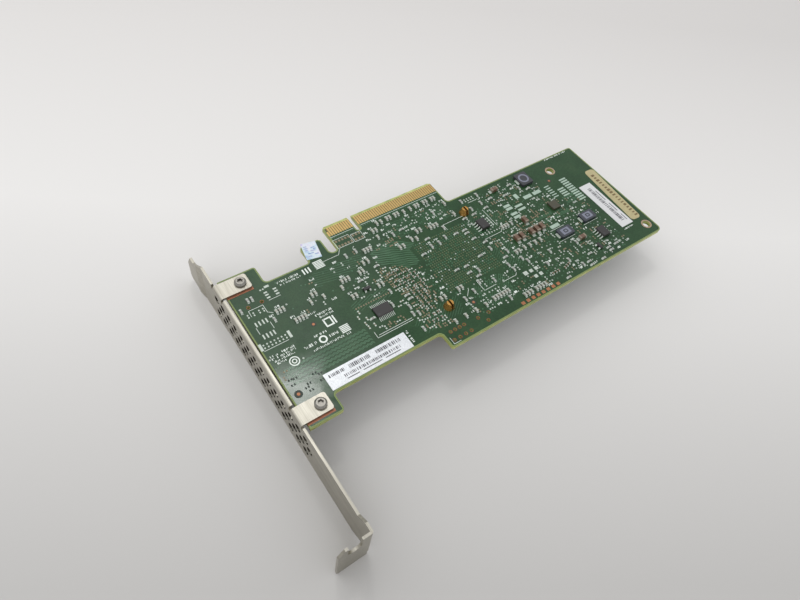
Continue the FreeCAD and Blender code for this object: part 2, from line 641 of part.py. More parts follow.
def bent_tab_cuts():
    """Screw notch and sloped corners of the tab that is bent outwards."""
    notch_x = BRACKET_OUTER_X - NOTCH_TO_FACE
    half = NOTCH_WIDTH / 2
    floor_round = half - END_FLAT
    above = BENT_TAB_TOP + OVERRUN
    below = BRACKET_LOW - OVERRUN
    outside = TAB_TIP_X - OVERRUN
    notch = [
        (notch_x - half, above, 0),
        (notch_x - half, BENT_TAB_TOP - NOTCH_DEPTH, floor_round),
        (notch_x + half, BENT_TAB_TOP - NOTCH_DEPTH, floor_round),
        (notch_x + half, above, 0),
    ]
    slope = sharp([
        (TAB_TIP_X, BENT_TAB_TOP - PRONG_SLOPE_Z),
        (TAB_TIP_X + PRONG_SLOPE_X, BENT_TAB_TOP),
        (TAB_TIP_X + PRONG_SLOPE_X, above),
        (outside, above),
        (outside, BENT_TAB_TOP - PRONG_SLOPE_Z),
    ])
    corner = sharp([
        (TAB_TIP_X, BRACKET_LOW + TAB_CORNER),
        (TAB_TIP_X + TAB_CORNER, BRACKET_LOW),
        (TAB_TIP_X + TAB_CORNER, below),
        (outside, below),
        (outside, BRACKET_LOW + TAB_CORNER),
    ])
    through = Vector(0, SHEET_T + 2 * OVERRUN, 0)
    start = on_xz(BEND_Y - OVERRUN)
    return [rounded_face(outline, start).extrude(through) for outline in (notch, slope, corner)]


def vents():
    """Three staggered rows of round vents through the face of the bracket."""
    row_step = VENT_PITCH * math.sin(math.radians(60))
    middle_z = BRACKET_LOW + BRACKET_WIDTH / 2
    holes = []
    for row in (-1, 0, 1):
        z = middle_z + row * row_step
        first_y = VENT_FIRST_Y if row else VENT_FIRST_Y - VENT_PITCH / 2
        for index in range(VENT_COUNT):
            y = first_y - index * VENT_PITCH
            face = rounded_face(polygon_points(y, z, VENT_R, VENT_SIDES), on_yz(BRACKET_OUTER_X - OVERRUN))
            holes.append(face.extrude(Vector(SHEET_T + 2 * OVERRUN, 0, 0)))
    return holes


def mounting_bracket():
    sheet = rounded_face(bracket_side_profile(), on_xy(BRACKET_LOW)).extrude(Vector(0, 0, BENT_TAB_WIDTH))
    half = BOARD_TAB_WIDTH / 2
    tabs = [(y - half, y + half) for y in (UPPER_TAB_Y, LOWER_TAB_Y)]
    lip = (LOWER_TAB_Y + half + RELIEF_WIDTH, UPPER_TAB_Y - half - RELIEF_WIDTH)
    above = BRACKET_TOP + OVERRUN
    windows = []
    folds = []
    for y_low, y_high in tabs:
        windows.append(sheet_window(y_low, y_high, BRACKET_TOP - FOLD_ROOT, above))
        for y in (y_low - RELIEF_WIDTH, y_high):
            windows.append(sheet_window(y, y + RELIEF_WIDTH, BRACKET_TOP - RELIEF_DEPTH, above))
        tab = folded_edge(y_low, y_high, BOARD_TAB_REACH, BRACKET_TOP, 1)
        corners = edges_where(tab, lambda p: near(p.x, BOARD_TAB_END))
        upright_corners = [edge for edge in corners if near(edge.Length, SHEET_T)]
        folds.append(tab.makeFillet(BOARD_TAB_ROUND, upright_corners))
    windows.append(sheet_window(lip[0], lip[1], BRACKET_TOP - FOLD_ROOT, above))
    folds.append(folded_edge(lip[0], lip[1], LIP_REACH, BRACKET_TOP, 1))
    windows.append(sheet_window(lip[0], lip[1], BRACKET_LOW - OVERRUN, BRACKET_LOW + FOLD_ROOT))
    folds.append(folded_edge(lip[0], lip[1], LOWER_FLANGE_REACH, BRACKET_LOW, -1))
    sheet = sheet.cut(windows + bracket_outline_cuts() + bent_tab_cuts())
    sheet = sheet.fuse(folds).removeSplitter()
    holes = [upright_prism(x, y, SCREW_HOLE_R, HOLE_SIDES, TOP, BRACKET_TOP) for x, y in SCREW_PLACES]
    return sheet.cut(vents() + holes)


def ground_pads():
    pads = []
    for x, y in SCREW_PLACES:
        half = BOARD_TAB_WIDTH / 2
        pad = block(BOARD_LEFT, BOARD_TAB_END, y - half - GROUND_PAD_MARGIN, y + half, TOP, TOP + COPPER_T)
        pads.append(pad.cut(upright_prism(x, y, SCREW_HOLE_R, HOLE_SIDES, TOP, TOP + COPPER_T)))
    return Part.makeCompound(pads)


def turned(outline, x, y):
    """Round piece about the upright axis through (x, y), from an outline of (radius, height)."""
    piece = rounded_face(outline, on_xz(0)).revolve(Vector(0, 0, 0), Vector(0, 0, 1), 360)
    piece.translate(Vector(x, y, 0))
    return piece


def drive_recess(x, y, z_top):
    """Six-lobed driver recess."""
    points = []
    for index in range(12):
        radius = DRIVE_R if index % 2 == 0 else DRIVE_R - DRIVE_LOBE
        angle = math.radians(30 * index)
        points.append((x + radius * math.cos(angle), y + radius * math.sin(angle)))
    return rounded_face(sharp(points), on_xy(z_top - DRIVE_DEPTH)).extrude(Vector(0, 0, DRIVE_DEPTH))


def bracket_screws():
    screws = []
    for x, y in SCREW_PLACES:
        head_top = BRACKET_TOP + HEAD_H
        end = UNDER - NUT_H - SCREW_END
        outline = sharp([
            (0, BRACKET_TOP),
            (HEAD_R, BRACKET_TOP),
            (HEAD_R, head_top - HEAD_SLOPE),
            (HEAD_R - HEAD_SLOPE, head_top),
            (0, head_top),
        ])
        head = turned(outline, x, y).cut(drive_recess(x, y, head_top))
        screws.append(head.fuse(upright_prism(x, y, SCREW_R, HOLE_SIDES, end, BRACKET_TOP)))
    return Part.makeCompound(screws)


def bracket_nuts():
    nuts = []
    for x, y in SCREW_PLACES:
        nut = upright_prism(x, y, NUT_FLATS / 2, 6, UNDER - NUT_H, UNDER)
        bore_r = SCREW_R + THREAD_CLEARANCE
        nuts.append(nut.cut(upright_prism(x, y, bore_r, HOLE_SIDES, UNDER - NUT_H, UNDER)))
    return Part.makeCompound(nuts)


def heat_sink():
    """Base plate with straight fins along X; pockets leave room for the push pins and their springs."""
    low = SINK_Z - SINK_HEIGHT
    half = SINK_SIZE / 2
    base = centred_block(SINK_X, SINK_Y, SINK_SIZE, SINK_SIZE, SINK_BASE_LOW, SINK_Z)
    step = (SINK_SIZE - FIN_T) / (FIN_COUNT - 1)
    fins = []
    for index in range(FIN_COUNT):
        y = SINK_Y - half + index * step
        fins.append(block(SINK_X - half, SINK_X + half, y, y + FIN_T, low, SINK_BASE_LOW))
    sink = base.fuse(fins)
    cuts = []
    for x, y in PIN_PLACES:
        cuts.append(centred_block(x, y, PIN_POCKET, PIN_POCKET, low, SINK_BASE_LOW))
        cuts.append(upright_prism(x, y, PIN_HOLE_R, HOLE_SIDES, SINK_BASE_LOW, SINK_Z))
    for index in range(FIN_CUT_COUNT):
        x = SINK_X - half + SINK_SIZE * (index + 1) / (FIN_CUT_COUNT + 1)
        cuts.append(centred_block(x, SINK_Y, FIN_CUT_WIDTH, SINK_SIZE, low, SINK_BASE_LOW))
    return sink.cut(cuts).removeSplitter()


def push_pins():
    """Pins with a head below the spring and a split barb that snaps out of the board's solder side."""
    pins = []
    for x, y in PIN_PLACES:
        tip = TOP + BARB_HEIGHT
        barb = turned(sharp([(0, TOP), (BARB_R, TOP), (BARB_TIP_R, tip), (0, tip)]), x, y)
        shaft = upright_prism(x, y, PIN_R, HOLE_SIDES, PIN_HEAD_Z, TOP)
        head = upright(x, y, PIN_HEAD_R, PIN_HEAD_Z - PIN_HEAD_T, PIN_HEAD_Z)
        split = centred_block(x, y, PIN_SLOT, 2 * BARB_R, tip - PIN_SLOT_DEPTH, tip)
        pins.append(head.fuse([shaft, barb]).cut(split))
    return Part.makeCompound(pins)


def push_pin_springs():
    springs = []
    rise = SPRING_LENGTH - SPRING_WIRE - SPRING_PLAY
    half = SPRING_WIRE / 2
    for x, y in PIN_PLACES:
        steps = SPRING_TURNS * SPRING_SIDES
        angles = [2 * math.pi * index / SPRING_SIDES for index in range(steps + 1)]
        spots = []
        for index, angle in enumerate(angles):
            height = rise * index / steps
            spots.append(Vector(SPRING_R * math.cos(angle), SPRING_R * math.sin(angle), height))
        section = sharp([(SPRING_R - half, -half), (SPRING_R + half, -half),
                         (SPRING_R + half, half), (SPRING_R - half, half)])
        wire = rounded_face(section, on_xz(0)).OuterWire
        spring = Part.makePolygon(spots).makePipeShell([wire], True, False, 1)
        spring.translate(Vector(x, y, PIN_HEAD_Z + half))
        springs.append(spring)
    return Part.makeCompound(springs)


def port_shell(x):
    """Sheet-metal cage, open towards the cable edge, with two latch windows in its outer wall."""
    low = UNDER - PORT_HEIGHT
    half = PORT_WIDTH / 2
    back = PORT_FRONT_Y + PORT_DEPTH
    shell = block(x - half, x + half, PORT_FRONT_Y, back, low, UNDER)
    inner = half - PORT_WALL
    cuts = [block(x - inner, x + inner, PORT_FRONT_Y, back, low + PORT_WALL, UNDER - PORT_WALL)]
    for side in (-1, 1):
        window_x = x + side * LATCH_SPACING / 2
        window_y = PORT_FRONT_Y + PORT_MOUTH_DEPTH / 2
        cuts.append(centred_block(window_x, window_y, LATCH_WINDOW_X, LATCH_WINDOW_Y, low, low + PORT_WALL))
    return shell.cut(cuts)


def port_slot_z():
    return UNDER - PORT_HEIGHT / 2


def port_insert(x):
    """Plastic block at the back of the cage with a nose that holds the card slot."""
    half = PORT_WIDTH / 2 - PORT_WALL
    low = UNDER - PORT_HEIGHT + PORT_WALL
    nose_front = PORT_FRONT_Y + PORT_MOUTH_DEPTH
    nose_back = nose_front + NOSE_LENGTH
    back = PORT_FRONT_Y + PORT_DEPTH
    body = block(x - half, x + half, nose_back, back, low, UNDER - PORT_WALL)
    middle = port_slot_z()
    nose_half = NOSE_HEIGHT / 2
    nose = block(x - NOSE_WIDTH / 2, x + NOSE_WIDTH / 2, nose_front, nose_back,
                 middle - nose_half, middle + nose_half)
    slot_half = CARD_SLOT_HEIGHT / 2
    slot = block(x - CARD_SLOT_WIDTH / 2, x + CARD_SLOT_WIDTH / 2, nose_front, nose_back,
                 middle - slot_half, middle + slot_half)
    return body.fuse(nose).cut(slot).removeSplitter()


def flip(shape, component_side):
    """A part drawn on the solder side, mirrored to the component side where asked."""
    return shape.mirror(Vector(0, 0, 0), Vector(0, 0, 1)) if component_side else shape


def chip_body(chip, place, lengthwise):
    """Moulded body with drafted sides; lengthwise sets its length along X instead of Y."""
    across, along, height = chip[:3]
    x, y = placed(place)
    size_x, size_y = (along, across) if lengthwise else (across, along)
    bottom = TOP + CHIP_STANDOFF
    waist = bottom + (height - CHIP_STANDOFF) / 2
    loops = []
    for z, inset in ((bottom, CHIP_DRAFT), (waist, 0), (TOP + height, CHIP_DRAFT)):
        a = size_x / 2 - inset
        b = size_y / 2 - inset
        points = sharp([(x - a, y - b), (x + a, y - b), (x + a, y + b), (x - a, y + b)])
        loops.append(rounded_face(points, on_xy(z)).OuterWire)
    return Part.makeLoft(loops, True, True)


def chip_leads(chip, place, lengthwise):
    """Gull-wing leads that leave the body at its waist and rest on the board."""
    across, along, height, count, pitch, span = chip
    waist = TOP + CHIP_STANDOFF + (height - CHIP_STANDOFF) / 2
    heel = across / 2 + LEAD_RISER
    profile = sharp([
        (span / 2, TOP),
        (span / 2, TOP + LEAD_T),
        (heel + LEAD_T, TOP + LEAD_T),
        (across / 2, waist + LEAD_T / 2),
        (across / 2, waist - LEAD_T / 2),
        (heel, TOP),
    ])
    width = pitch * LEAD_FILL
    leads = []
    for index in range(count):
        offset = (index - (count - 1) / 2) * pitch
        lead = rounded_face(profile, on_xz(offset - width / 2)).extrude(Vector(0, width, 0))
        leads += [lead, lead.mirror(Vector(0, 0, 0), Vector(1, 0, 0))]
    group = Part.makeCompound(leads)
    if lengthwise:
        group.rotate(Vector(0, 0, 0), Vector(0, 0, 1), 90)
    group.translate(Vector(*placed(place), 0))
    return group


def bevelled_block(place, length, width, z_low, z_high, bevel):
    x, y = place
    half_x = length / 2
    half_y = width / 2
    outline = sharp([
        (x - half_x + bevel, y - half_y), (x + half_x - bevel, y - half_y),
        (x + half_x, y - half_y + bevel), (x + half_x, y + half_y - bevel),
        (x + half_x - bevel, y + half_y), (x - half_x + bevel, y + half_y),
        (x - half_x, y + half_y - bevel), (x - half_x, y - half_y + bevel),
    ])
    return rounded_face(outline, on_xy(z_low)).extrude(Vector(0, 0, z_high - z_low))


def end_terminals(place, length, width, rise):
    """Pair of bent strips at the two X ends of a body, each with a foot on the board."""
    x, y = place
    strips = []
    for side in (-1, 1):
        end = x + side * length / 2
        outline = sharp([
            (end, TOP),
            (end + side * TERMINAL_FOOT, TOP),
            (end + side * TERMINAL_FOOT, TOP + TERMINAL_T),
            (end + side * TERMINAL_T, TOP + TERMINAL_T),
            (end + side * TERMINAL_T, TOP + rise),
            (end, TOP + rise),
        ])
        strips.append(rounded_face(outline, on_xz(y - width / 2)).extrude(Vector(0, width, 0)))
    return strips


def bodies_with_terminals(drawn_places, length, width, height, bevel, component_side=False):
    places = [placed(place) for place in drawn_places]
    bodies = [bevelled_block(place, length, width, TOP, TOP + height, bevel) for place in places]
    strips = []
    rise = TERMINAL_RISE_SHARE * height
    for place in places:
        strips += end_terminals(place, length, min(TERMINAL_WIDTH, width - 2 * bevel), rise)
    return flip(Part.makeCompound(bodies), component_side), flip(Part.makeCompound(strips), component_side)


def chip_parts(size, rows, component_side=False):
    length, width, height = size
    parts = []
    for row in rows:
        size_x, size_y = (length, width) if row[5] == "x" else (width, length)
        parts += [centred_block(x, y, size_x, size_y, TOP, TOP + height) for x, y in row_places(row)]
    return flip(Part.makeCompound(parts), component_side)


def label(x, y, length, width, corner_round, turn):
    half_x = length / 2
    half_y = width / 2
    spots = ((-half_x, -half_y), (half_x, -half_y), (half_x, half_y), (-half_x, half_y))
    corners = [(a, b, corner_round) for a, b in spots]
    plate = rounded_face(corners, on_xy(TOP)).extrude(Vector(0, 0, LABEL_T))
    plate.rotate(Vector(0, 0, 0), Vector(0, 0, 1), turn)
    plate.translate(Vector(x, y, 0))
    return plate


def save_chips():
    save("driver_chip", chip_body(DRIVER_CHIP, DRIVER_CHIP_AT, True))
    save("driver_chip_leads", chip_leads(DRIVER_CHIP, DRIVER_CHIP_AT, True))
    bodies = [chip_body(SWITCH_CHIP, place, False) for place in SWITCH_CHIPS_AT]
    save("switch_chips", Part.makeCompound(bodies))
    leads = [chip_leads(SWITCH_CHIP, place, False) for place in SWITCH_CHIPS_AT]
    save("switch_chip_leads", Part.makeCompound(leads))
    bodies = [chip_body(TRANSISTOR, (x, y), lengthwise) for x, y, lengthwise in TRANSISTORS_AT]
    save("transistor", Part.makeCompound(bodies))
    leads = [chip_leads(TRANSISTOR, (x, y), lengthwise) for x, y, lengthwise in TRANSISTORS_AT]
    save("transistor_leads", Part.makeCompound(leads))
    flash = centred_block(*FLASH_AT, FLASH_LENGTH, FLASH_WIDTH, TOP, TOP + FLASH_T)
    save("flash_chip", flip(flash, True))
    leadless = centred_block(*placed(LEADLESS_AT), LEADLESS_SIZE, LEADLESS_SIZE, TOP, TOP + LEADLESS_T)
    save("regulator_chip", leadless)
    can = bevelled_block(CRYSTAL_AT, CRYSTAL_LENGTH, CRYSTAL_WIDTH, TOP, TOP + CRYSTAL_T, CRYSTAL_BEVEL)
    save("crystal_can", flip(can, True))


def save_power_parts():
    inductor = (INDUCTOR_LENGTH, INDUCTOR_WIDTH, INDUCTOR_T, INDUCTOR_BEVEL)
    bodies, strips = bodies_with_terminals(INDUCTORS_AT, *inductor)
    save("power_inductors", bodies)
    save("power_inductor_terminals", strips)
    choke = (FILTER_LENGTH, FILTER_WIDTH, INDUCTOR_T, INDUCTOR_BEVEL)
    body, strips = bodies_with_terminals([FILTER_AT], *choke)
    save("filter_inductor", body)
    save("filter_inductor_terminals", strips)
    bodies, strips = bodies_with_terminals(COILS_AT, COIL_SIZE, COIL_SIZE, COIL_T, INDUCTOR_BEVEL, True)
    save("regulator_inductors", bodies)
    save("regulator_inductor_terminals", strips)
    bodies, strips = bodies_with_terminals(BULK_AT, BULK_LENGTH, BULK_WIDTH, BULK_T, BULK_BEVEL, True)
    save("bulk_capacitors", bodies)
    save("bulk_capacitor_terminals", strips)


def decoupling_rows():
    """Rows beside three edges of the heat sink."""
    aside = SINK_SIZE / 2 + DECOUPLING_TO_SINK
    start = DECOUPLING_STEP * (DECOUPLING_COUNT - 1) / 2
    return (
        (SINK_X - aside, SINK_Y + start, DECOUPLING_COUNT, 0, -DECOUPLING_STEP, "y"),
        (SINK_X + aside / STRETCH, SINK_Y + start, DECOUPLING_COUNT, 0, -DECOUPLING_STEP, "y"),
        (SINK_X - 2 * start, SINK_Y + aside, DECOUPLING_COUNT, DECOUPLING_STEP, 0, "x"),
    )


def save_chip_parts():
    save("large_capacitors", chip_parts(LARGE_CAPACITOR, LARGE_CAPACITOR_ROWS))
    save("chip_capacitors", chip_parts(CHIP_CAPACITOR, CHIP_CAPACITOR_ROWS))
    save("chip_resistors", chip_parts(CHIP_RESISTOR, CHIP_RESISTOR_ROWS))
    save("small_capacitors", chip_parts(SMALL_CAPACITOR, SMALL_CAPACITOR_ROWS))
    save("decoupling_capacitors", chip_parts(CHIP_CAPACITOR, decoupling_rows(), True))
    save("status_lights", chip_parts(STATUS_LIGHT, STATUS_LIGHT_ROWS, True))


def save_labels():
    wide_y = RECESS_Y + WIDE_LABEL_TO_RECESS + WIDE_LABEL_HEIGHT / 2
    save("wide_label", label(WIDE_LABEL_X, wide_y, WIDE_LABEL_LENGTH, WIDE_LABEL_HEIGHT, 0, 0))
    white_x = FAR_X - WHITE_LABEL_TO_END
    save("white_label", label(white_x, WHITE_LABEL_Y, WHITE_LABEL_WIDTH, WHITE_LABEL_LENGTH, 0, 0))
    tan_x = FAR_X - TAN_LABEL_TO_END
    tan = label(tan_x, TAN_LABEL_Y, TAN_LABEL_WIDTH, TAN_LABEL_LENGTH, TAN_LABEL_ROUND, TAN_LABEL_TURN)
    save("tan_label", tan)
    sticker_x = (FINGER_LEFT + FINGER_RIGHT) / 2 + STICKER_SHIFT_X
    sticker_y = (FINGER_TIP_Y - SHOULDER_DEPTH) / 2 + STICKER_SHIFT_Y
    sticker = label(sticker_x, sticker_y, STICKER_WIDTH, STICKER_LENGTH, 0, STICKER_TURN)
    save("inspection_sticker", sticker)


def main():
    os.makedirs("parts", exist_ok=True)
    save("circuit_board", circuit_board())
    save("contacts_solder_side", edge_contacts(TOP, TOP + COPPER_T, SHORT_CONTACTS_SOLDER_SIDE))
    save("contacts_component_side", edge_contacts(UNDER - COPPER_T, UNDER, SHORT_CONTACTS_COMPONENT_SIDE))
    save("mounting_bracket", mounting_bracket())
    save("ground_pads", ground_pads())
    save("bracket_screws", bracket_screws())
    save("bracket_nuts", bracket_nuts())
    middle = (SINK_X, SINK_Y)
    save("controller_substrate", centred_block(*middle, SUBSTRATE_SIZE, SUBSTRATE_SIZE, LID_Z, UNDER))
    save("controller_lid", bevelled_block(middle, LID_SIZE, LID_SIZE, PAD_Z, LID_Z, LID_BEVEL))
    save("thermal_pad", centred_block(*middle, LID_SIZE, LID_SIZE, SINK_Z, PAD_Z))
    save("heat_sink", heat_sink())
    save("push_pins", push_pins())
    save("push_pin_springs", push_pin_springs())
    for side, x in PORTS.items():
        save("cable_port_shell_" + side, port_shell(x))
        save("cable_port_insert_" + side, port_insert(x))
    save_chips()
    save_power_parts()
    save_chip_parts()
    save_labels()


main()
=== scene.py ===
import math
import random

import bmesh
import bpy
from mathutils import Matrix, Vector


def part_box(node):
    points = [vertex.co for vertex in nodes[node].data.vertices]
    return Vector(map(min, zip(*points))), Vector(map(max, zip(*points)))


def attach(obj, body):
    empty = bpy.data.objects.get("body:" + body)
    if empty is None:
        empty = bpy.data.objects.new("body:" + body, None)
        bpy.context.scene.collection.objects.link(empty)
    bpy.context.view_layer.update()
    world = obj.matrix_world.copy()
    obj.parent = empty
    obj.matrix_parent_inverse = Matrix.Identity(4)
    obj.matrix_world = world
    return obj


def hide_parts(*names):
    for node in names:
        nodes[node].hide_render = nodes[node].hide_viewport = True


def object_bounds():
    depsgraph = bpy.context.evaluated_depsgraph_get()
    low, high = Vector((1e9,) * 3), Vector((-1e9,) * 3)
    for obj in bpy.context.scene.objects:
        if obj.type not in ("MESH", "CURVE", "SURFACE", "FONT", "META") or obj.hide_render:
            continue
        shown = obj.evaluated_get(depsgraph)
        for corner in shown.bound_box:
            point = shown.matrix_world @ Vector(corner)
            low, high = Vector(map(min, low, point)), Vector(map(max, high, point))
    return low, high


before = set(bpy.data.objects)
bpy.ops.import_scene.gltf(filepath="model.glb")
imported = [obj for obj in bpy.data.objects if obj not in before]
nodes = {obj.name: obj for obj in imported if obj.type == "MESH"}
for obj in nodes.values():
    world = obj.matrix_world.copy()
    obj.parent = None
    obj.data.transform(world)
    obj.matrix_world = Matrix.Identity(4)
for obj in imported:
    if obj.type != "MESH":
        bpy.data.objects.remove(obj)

# A host bus adapter that lies on a pale table, component side down.
# Sizes and places below are in millimetres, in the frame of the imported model; pieces are built in metres.
MM = 0.001
cad_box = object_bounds()
dice = random.Random(11)


def node_box(name):
    """Lowest and highest corner of a node, in millimetres."""
    low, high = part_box(name)
    return Vector(low) / MM, Vector(high) / MM


BOARD_LOW, BOARD_HIGH = node_box("circuit_board")
TOP = BOARD_HIGH.z
UNDER = BOARD_LOW.z

# Thin layers: how deep they are rooted, and how far each kind stands out
ROOT = 0.01
TRACE_T = 0.012
INK_T = 0.012
PAD_T = 0.035
SILK_T = 0.022
VIA_T = 0.03
HOLE_T = 0.3 * VIA_T
TOP_T = 0.04
TOP_MARK_T = 0.05

# Edge connector
CONTACT_PITCH = 1.0
FIRST_CONTACT = 0.35
KEY_HALF = 1.0
KEY_CLEAR = 1.2

# Controller on the far side, the span of the bracket's vents whose walls get a painted shade, and the
# sticker's turn in degrees
CONTROLLER = (24.8, -37.7)
VENTS_MIDDLE_Y = -38.8
VENTS_REACH = 34.0
STICKER_TURN = -11.0

# Photograph's camera: focal length in pixels of the 800 pixel wide frame, place in millimetres
PHOTO_WIDTH = 800
FOCAL_PIXELS = 618.195
SENSOR_MM = 36.0
CAMERA_AT = (-95.053, -136.333, 178.087)
CAMERA_RIGHT = (0.81408, -0.56992, 0.11160)
CAMERA_UP = (0.41311, 0.70336, 0.57847)
CAMERA_NEAR = 5.0


def add_object(name, data):
    """Puts an object with the given data in the scene."""
    made = bpy.data.objects.new(name, data)
    bpy.context.scene.collection.objects.link(made)
    return made


class Shape:
    """Points and faces of one piece, in millimetres."""

    def __init__(self):
        self.points = []
        self.faces = []

    def join(self, base, above, count):
        """Faces between two loops of points, given by the first point of each."""
        for i in range(count):
            j = (i + 1) % count
            self.faces.append([base + i, base + j, above + j, above + i])

    def loft(self, loops):
        """Closed solid through loops that have the same number of points."""
        start = len(self.points)
        count = len(loops[0])
        for loop in loops:
            self.points += loop
        self.faces.append([start + i for i in reversed(range(count))])
        last = start + count * (len(loops) - 1)
        self.faces.append([last + i for i in range(count)])
        for base in range(start, last, count):
            self.join(base, base + count, count)

    def prism(self, outline, low, high):
        self.loft([[(x, y, low) for x, y in outline], [(x, y, high) for x, y in outline]])

    def slab(self, x, y, size_x, size_y, low, high):
        self.prism(rectangle(x, y, size_x, size_y), low, high)

    def stroke(self, x, y, along, across, wide, tall, face, upright):
        """One stroke of a row that runs to the right from a place, or down from it if it is upright."""
        if upright:
            self.slab(x + across, y - along, tall, wide, *face)
        else:
            self.slab(x + along, y + across, wide, tall, *face)

    def disc(self, x, y, radius, low, high, sides):
        self.prism(circle(x, y, radius, sides), low, high)

    def block(self, x, y, size_x, size_y, root, tip, bevel):
        """Block that stands from root to tip, with bevelled edges round its tip and its upright corners."""
        turn = 1 if tip > root else -1
        shoulder = tip - turn * bevel
        wide = clipped_rectangle(x, y, size_x, size_y, bevel)
        narrow = clipped_rectangle(x, y, size_x - 2 * bevel, size_y - 2 * bevel, bevel)
        self.loft([[(a, b, root) for a, b in wide], [(a, b, shoulder) for a, b in wide],
                   [(a, b, tip) for a, b in narrow]])

    def band(self, outer, inner, low, high):
        """Flat closed strip between two loops that have the same number of points."""
        start = len(self.points)
        count = len(outer)
        for loop, z in ((outer, low), (outer, high), (inner, high), (inner, low)):
            self.points += [(x, y, z) for x, y in loop]
        for level in range(4):
            self.join(start + level * count, start + (level + 1) % 4 * count, count)

    def ring(self, x, y, inner, outer, low, high, sides):
        """Flat ring with an open middle."""
        self.band(circle(x, y, outer, sides), circle(x, y, inner, sides), low, high)

    def ribbon(self, path, width, low, high):
        """Strip of even width along a path of (x, y) points."""
        loops = []
        sharpest = 0.5
        for index, spot in enumerate(path):
            before = Vector(path[max(index - 1, 0)])
            after = Vector(path[min(index + 1, len(path) - 1)])
            here = Vector(spot)
            first = (here - before).normalized() if index else (after - here).normalized()
            second = (after - here).normalized() if index < len(path) - 1 else first
            middle = (first + second).normalized()
            shift = Vector((-middle.y, middle.x)) * (width / 2 / max(middle.dot(second), sharpest))
            left, right = here + shift, here - shift
            loops.append([(*right, low), (*right, high), (*left, high), (*left, low)])
        self.loft(loops)

    def build(self, name, look, slot):
        mesh = bpy.data.meshes.new(name)
        mesh.from_pydata([Vector(point) * MM for point in self.points], [], self.faces)
        work = bmesh.new()
        work.from_mesh(mesh)
        bmesh.ops.recalc_face_normals(work, faces=work.faces)
        work.to_mesh(mesh)
        work.free()
        mesh.materials.append(LOOKS[look])
        piece = add_object(name, mesh)
        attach(piece, "root")
        return piece


def rectangle(x, y, size_x, size_y):
    a, b = size_x / 2, size_y / 2
    return [(x - a, y - b), (x + a, y - b), (x + a, y + b), (x - a, y + b)]


def clipped_rectangle(x, y, size_x, size_y, clip):
    a, b = size_x / 2, size_y / 2
    return [(x - a + clip, y - b), (x + a - clip, y - b), (x + a, y - b + clip), (x + a, y + b - clip),
            (x + a - clip, y + b), (x - a + clip, y + b), (x - a, y + b - clip), (x - a, y - b + clip)]


def circle(x, y, radius, sides):
    turns = [2 * math.pi * (index + 0.5) / sides for index in range(sides)]
    return [(x + radius * math.cos(turn), y + radius * math.sin(turn)) for turn in turns]


def frame_round(ax, ay, bx, by):
    """Closed path through two opposite corners."""
    return [(ax, ay), (bx, ay), (bx, by), (ax, by), (ax, ay)]


def span(first, count, step):
    return [first + step * index for index in range(count)]


def layer(thickness, side):
    """Heights of a thin layer on the solder side (1) or on the component side (-1)."""
    if side > 0:
        return TOP - ROOT, TOP + thickness
    return UNDER + ROOT, UNDER - thickness


def corners_of(mesh):
    """Corners of a mesh, in millimetres, rounded so that equal places are equal."""
    return [tuple(round(value / MM, 3) for value in vertex.co) for vertex in mesh.vertices]


def solids_of(name):
    """Boxes round the separate solids of a node, in millimetres."""
    mesh = nodes[name].data
    keys = corners_of(mesh)
    groups = []
    for face in mesh.polygons:
        group = {keys[index] for index in face.vertices}
        apart = []
        for other in groups:
            if group.isdisjoint(other):
                apart.append(other)
            else:
                group |= other
        groups = apart + [group]
    boxes = []
    for group in groups:
        axes = list(zip(*group))
        boxes.append((Vector([min(axis) for axis in axes]), Vector([max(axis) for axis in axes])))
    return sorted(boxes, key=lambda pair: tuple(pair[0]))


# Materials

NO_STRETCH = (1, 1, 1)
COAT_ROUGHNESS = 0.12
LESS_ROUGH = 0.08
MORE_ROUGH = 0.1
SMOOTHEST = 0.02
MASK_GLOSS = {"coat": 0.5, "specular": 0.03}
MASK_ROUGHNESS = (0.27, 0.42)
WEAVE_SHARE = 0.3
FLAT_NORMAL = 0.97
WALL_ACROSS = 0.1
WALL_SLANT = 0.98
SHARP_STEP = (0.35, 0.65)

# Table's painted shade: shares of x and y in its depth, and the depths in metres where the painted shade
# begins and ends
TABLE_SHADE_LEAN = (0.55, 0.83)
TABLE_SHADE_DEPTHS = (-0.14, 0.21)


def srgb(red, green, blue):
    """Linear colour of a screen colour given as 0 to 255."""
    def linear(value):
        value /= 255
        return value / 12.92 if value <= 0.04045 else ((value + 0.055) / 1.055) ** 2.4
    return (linear(red), linear(green), linear(blue), 1.0)


def shade(colour, factor):
    return tuple(min(1.0, value * factor) for value in colour[:3]) + (1.0,)


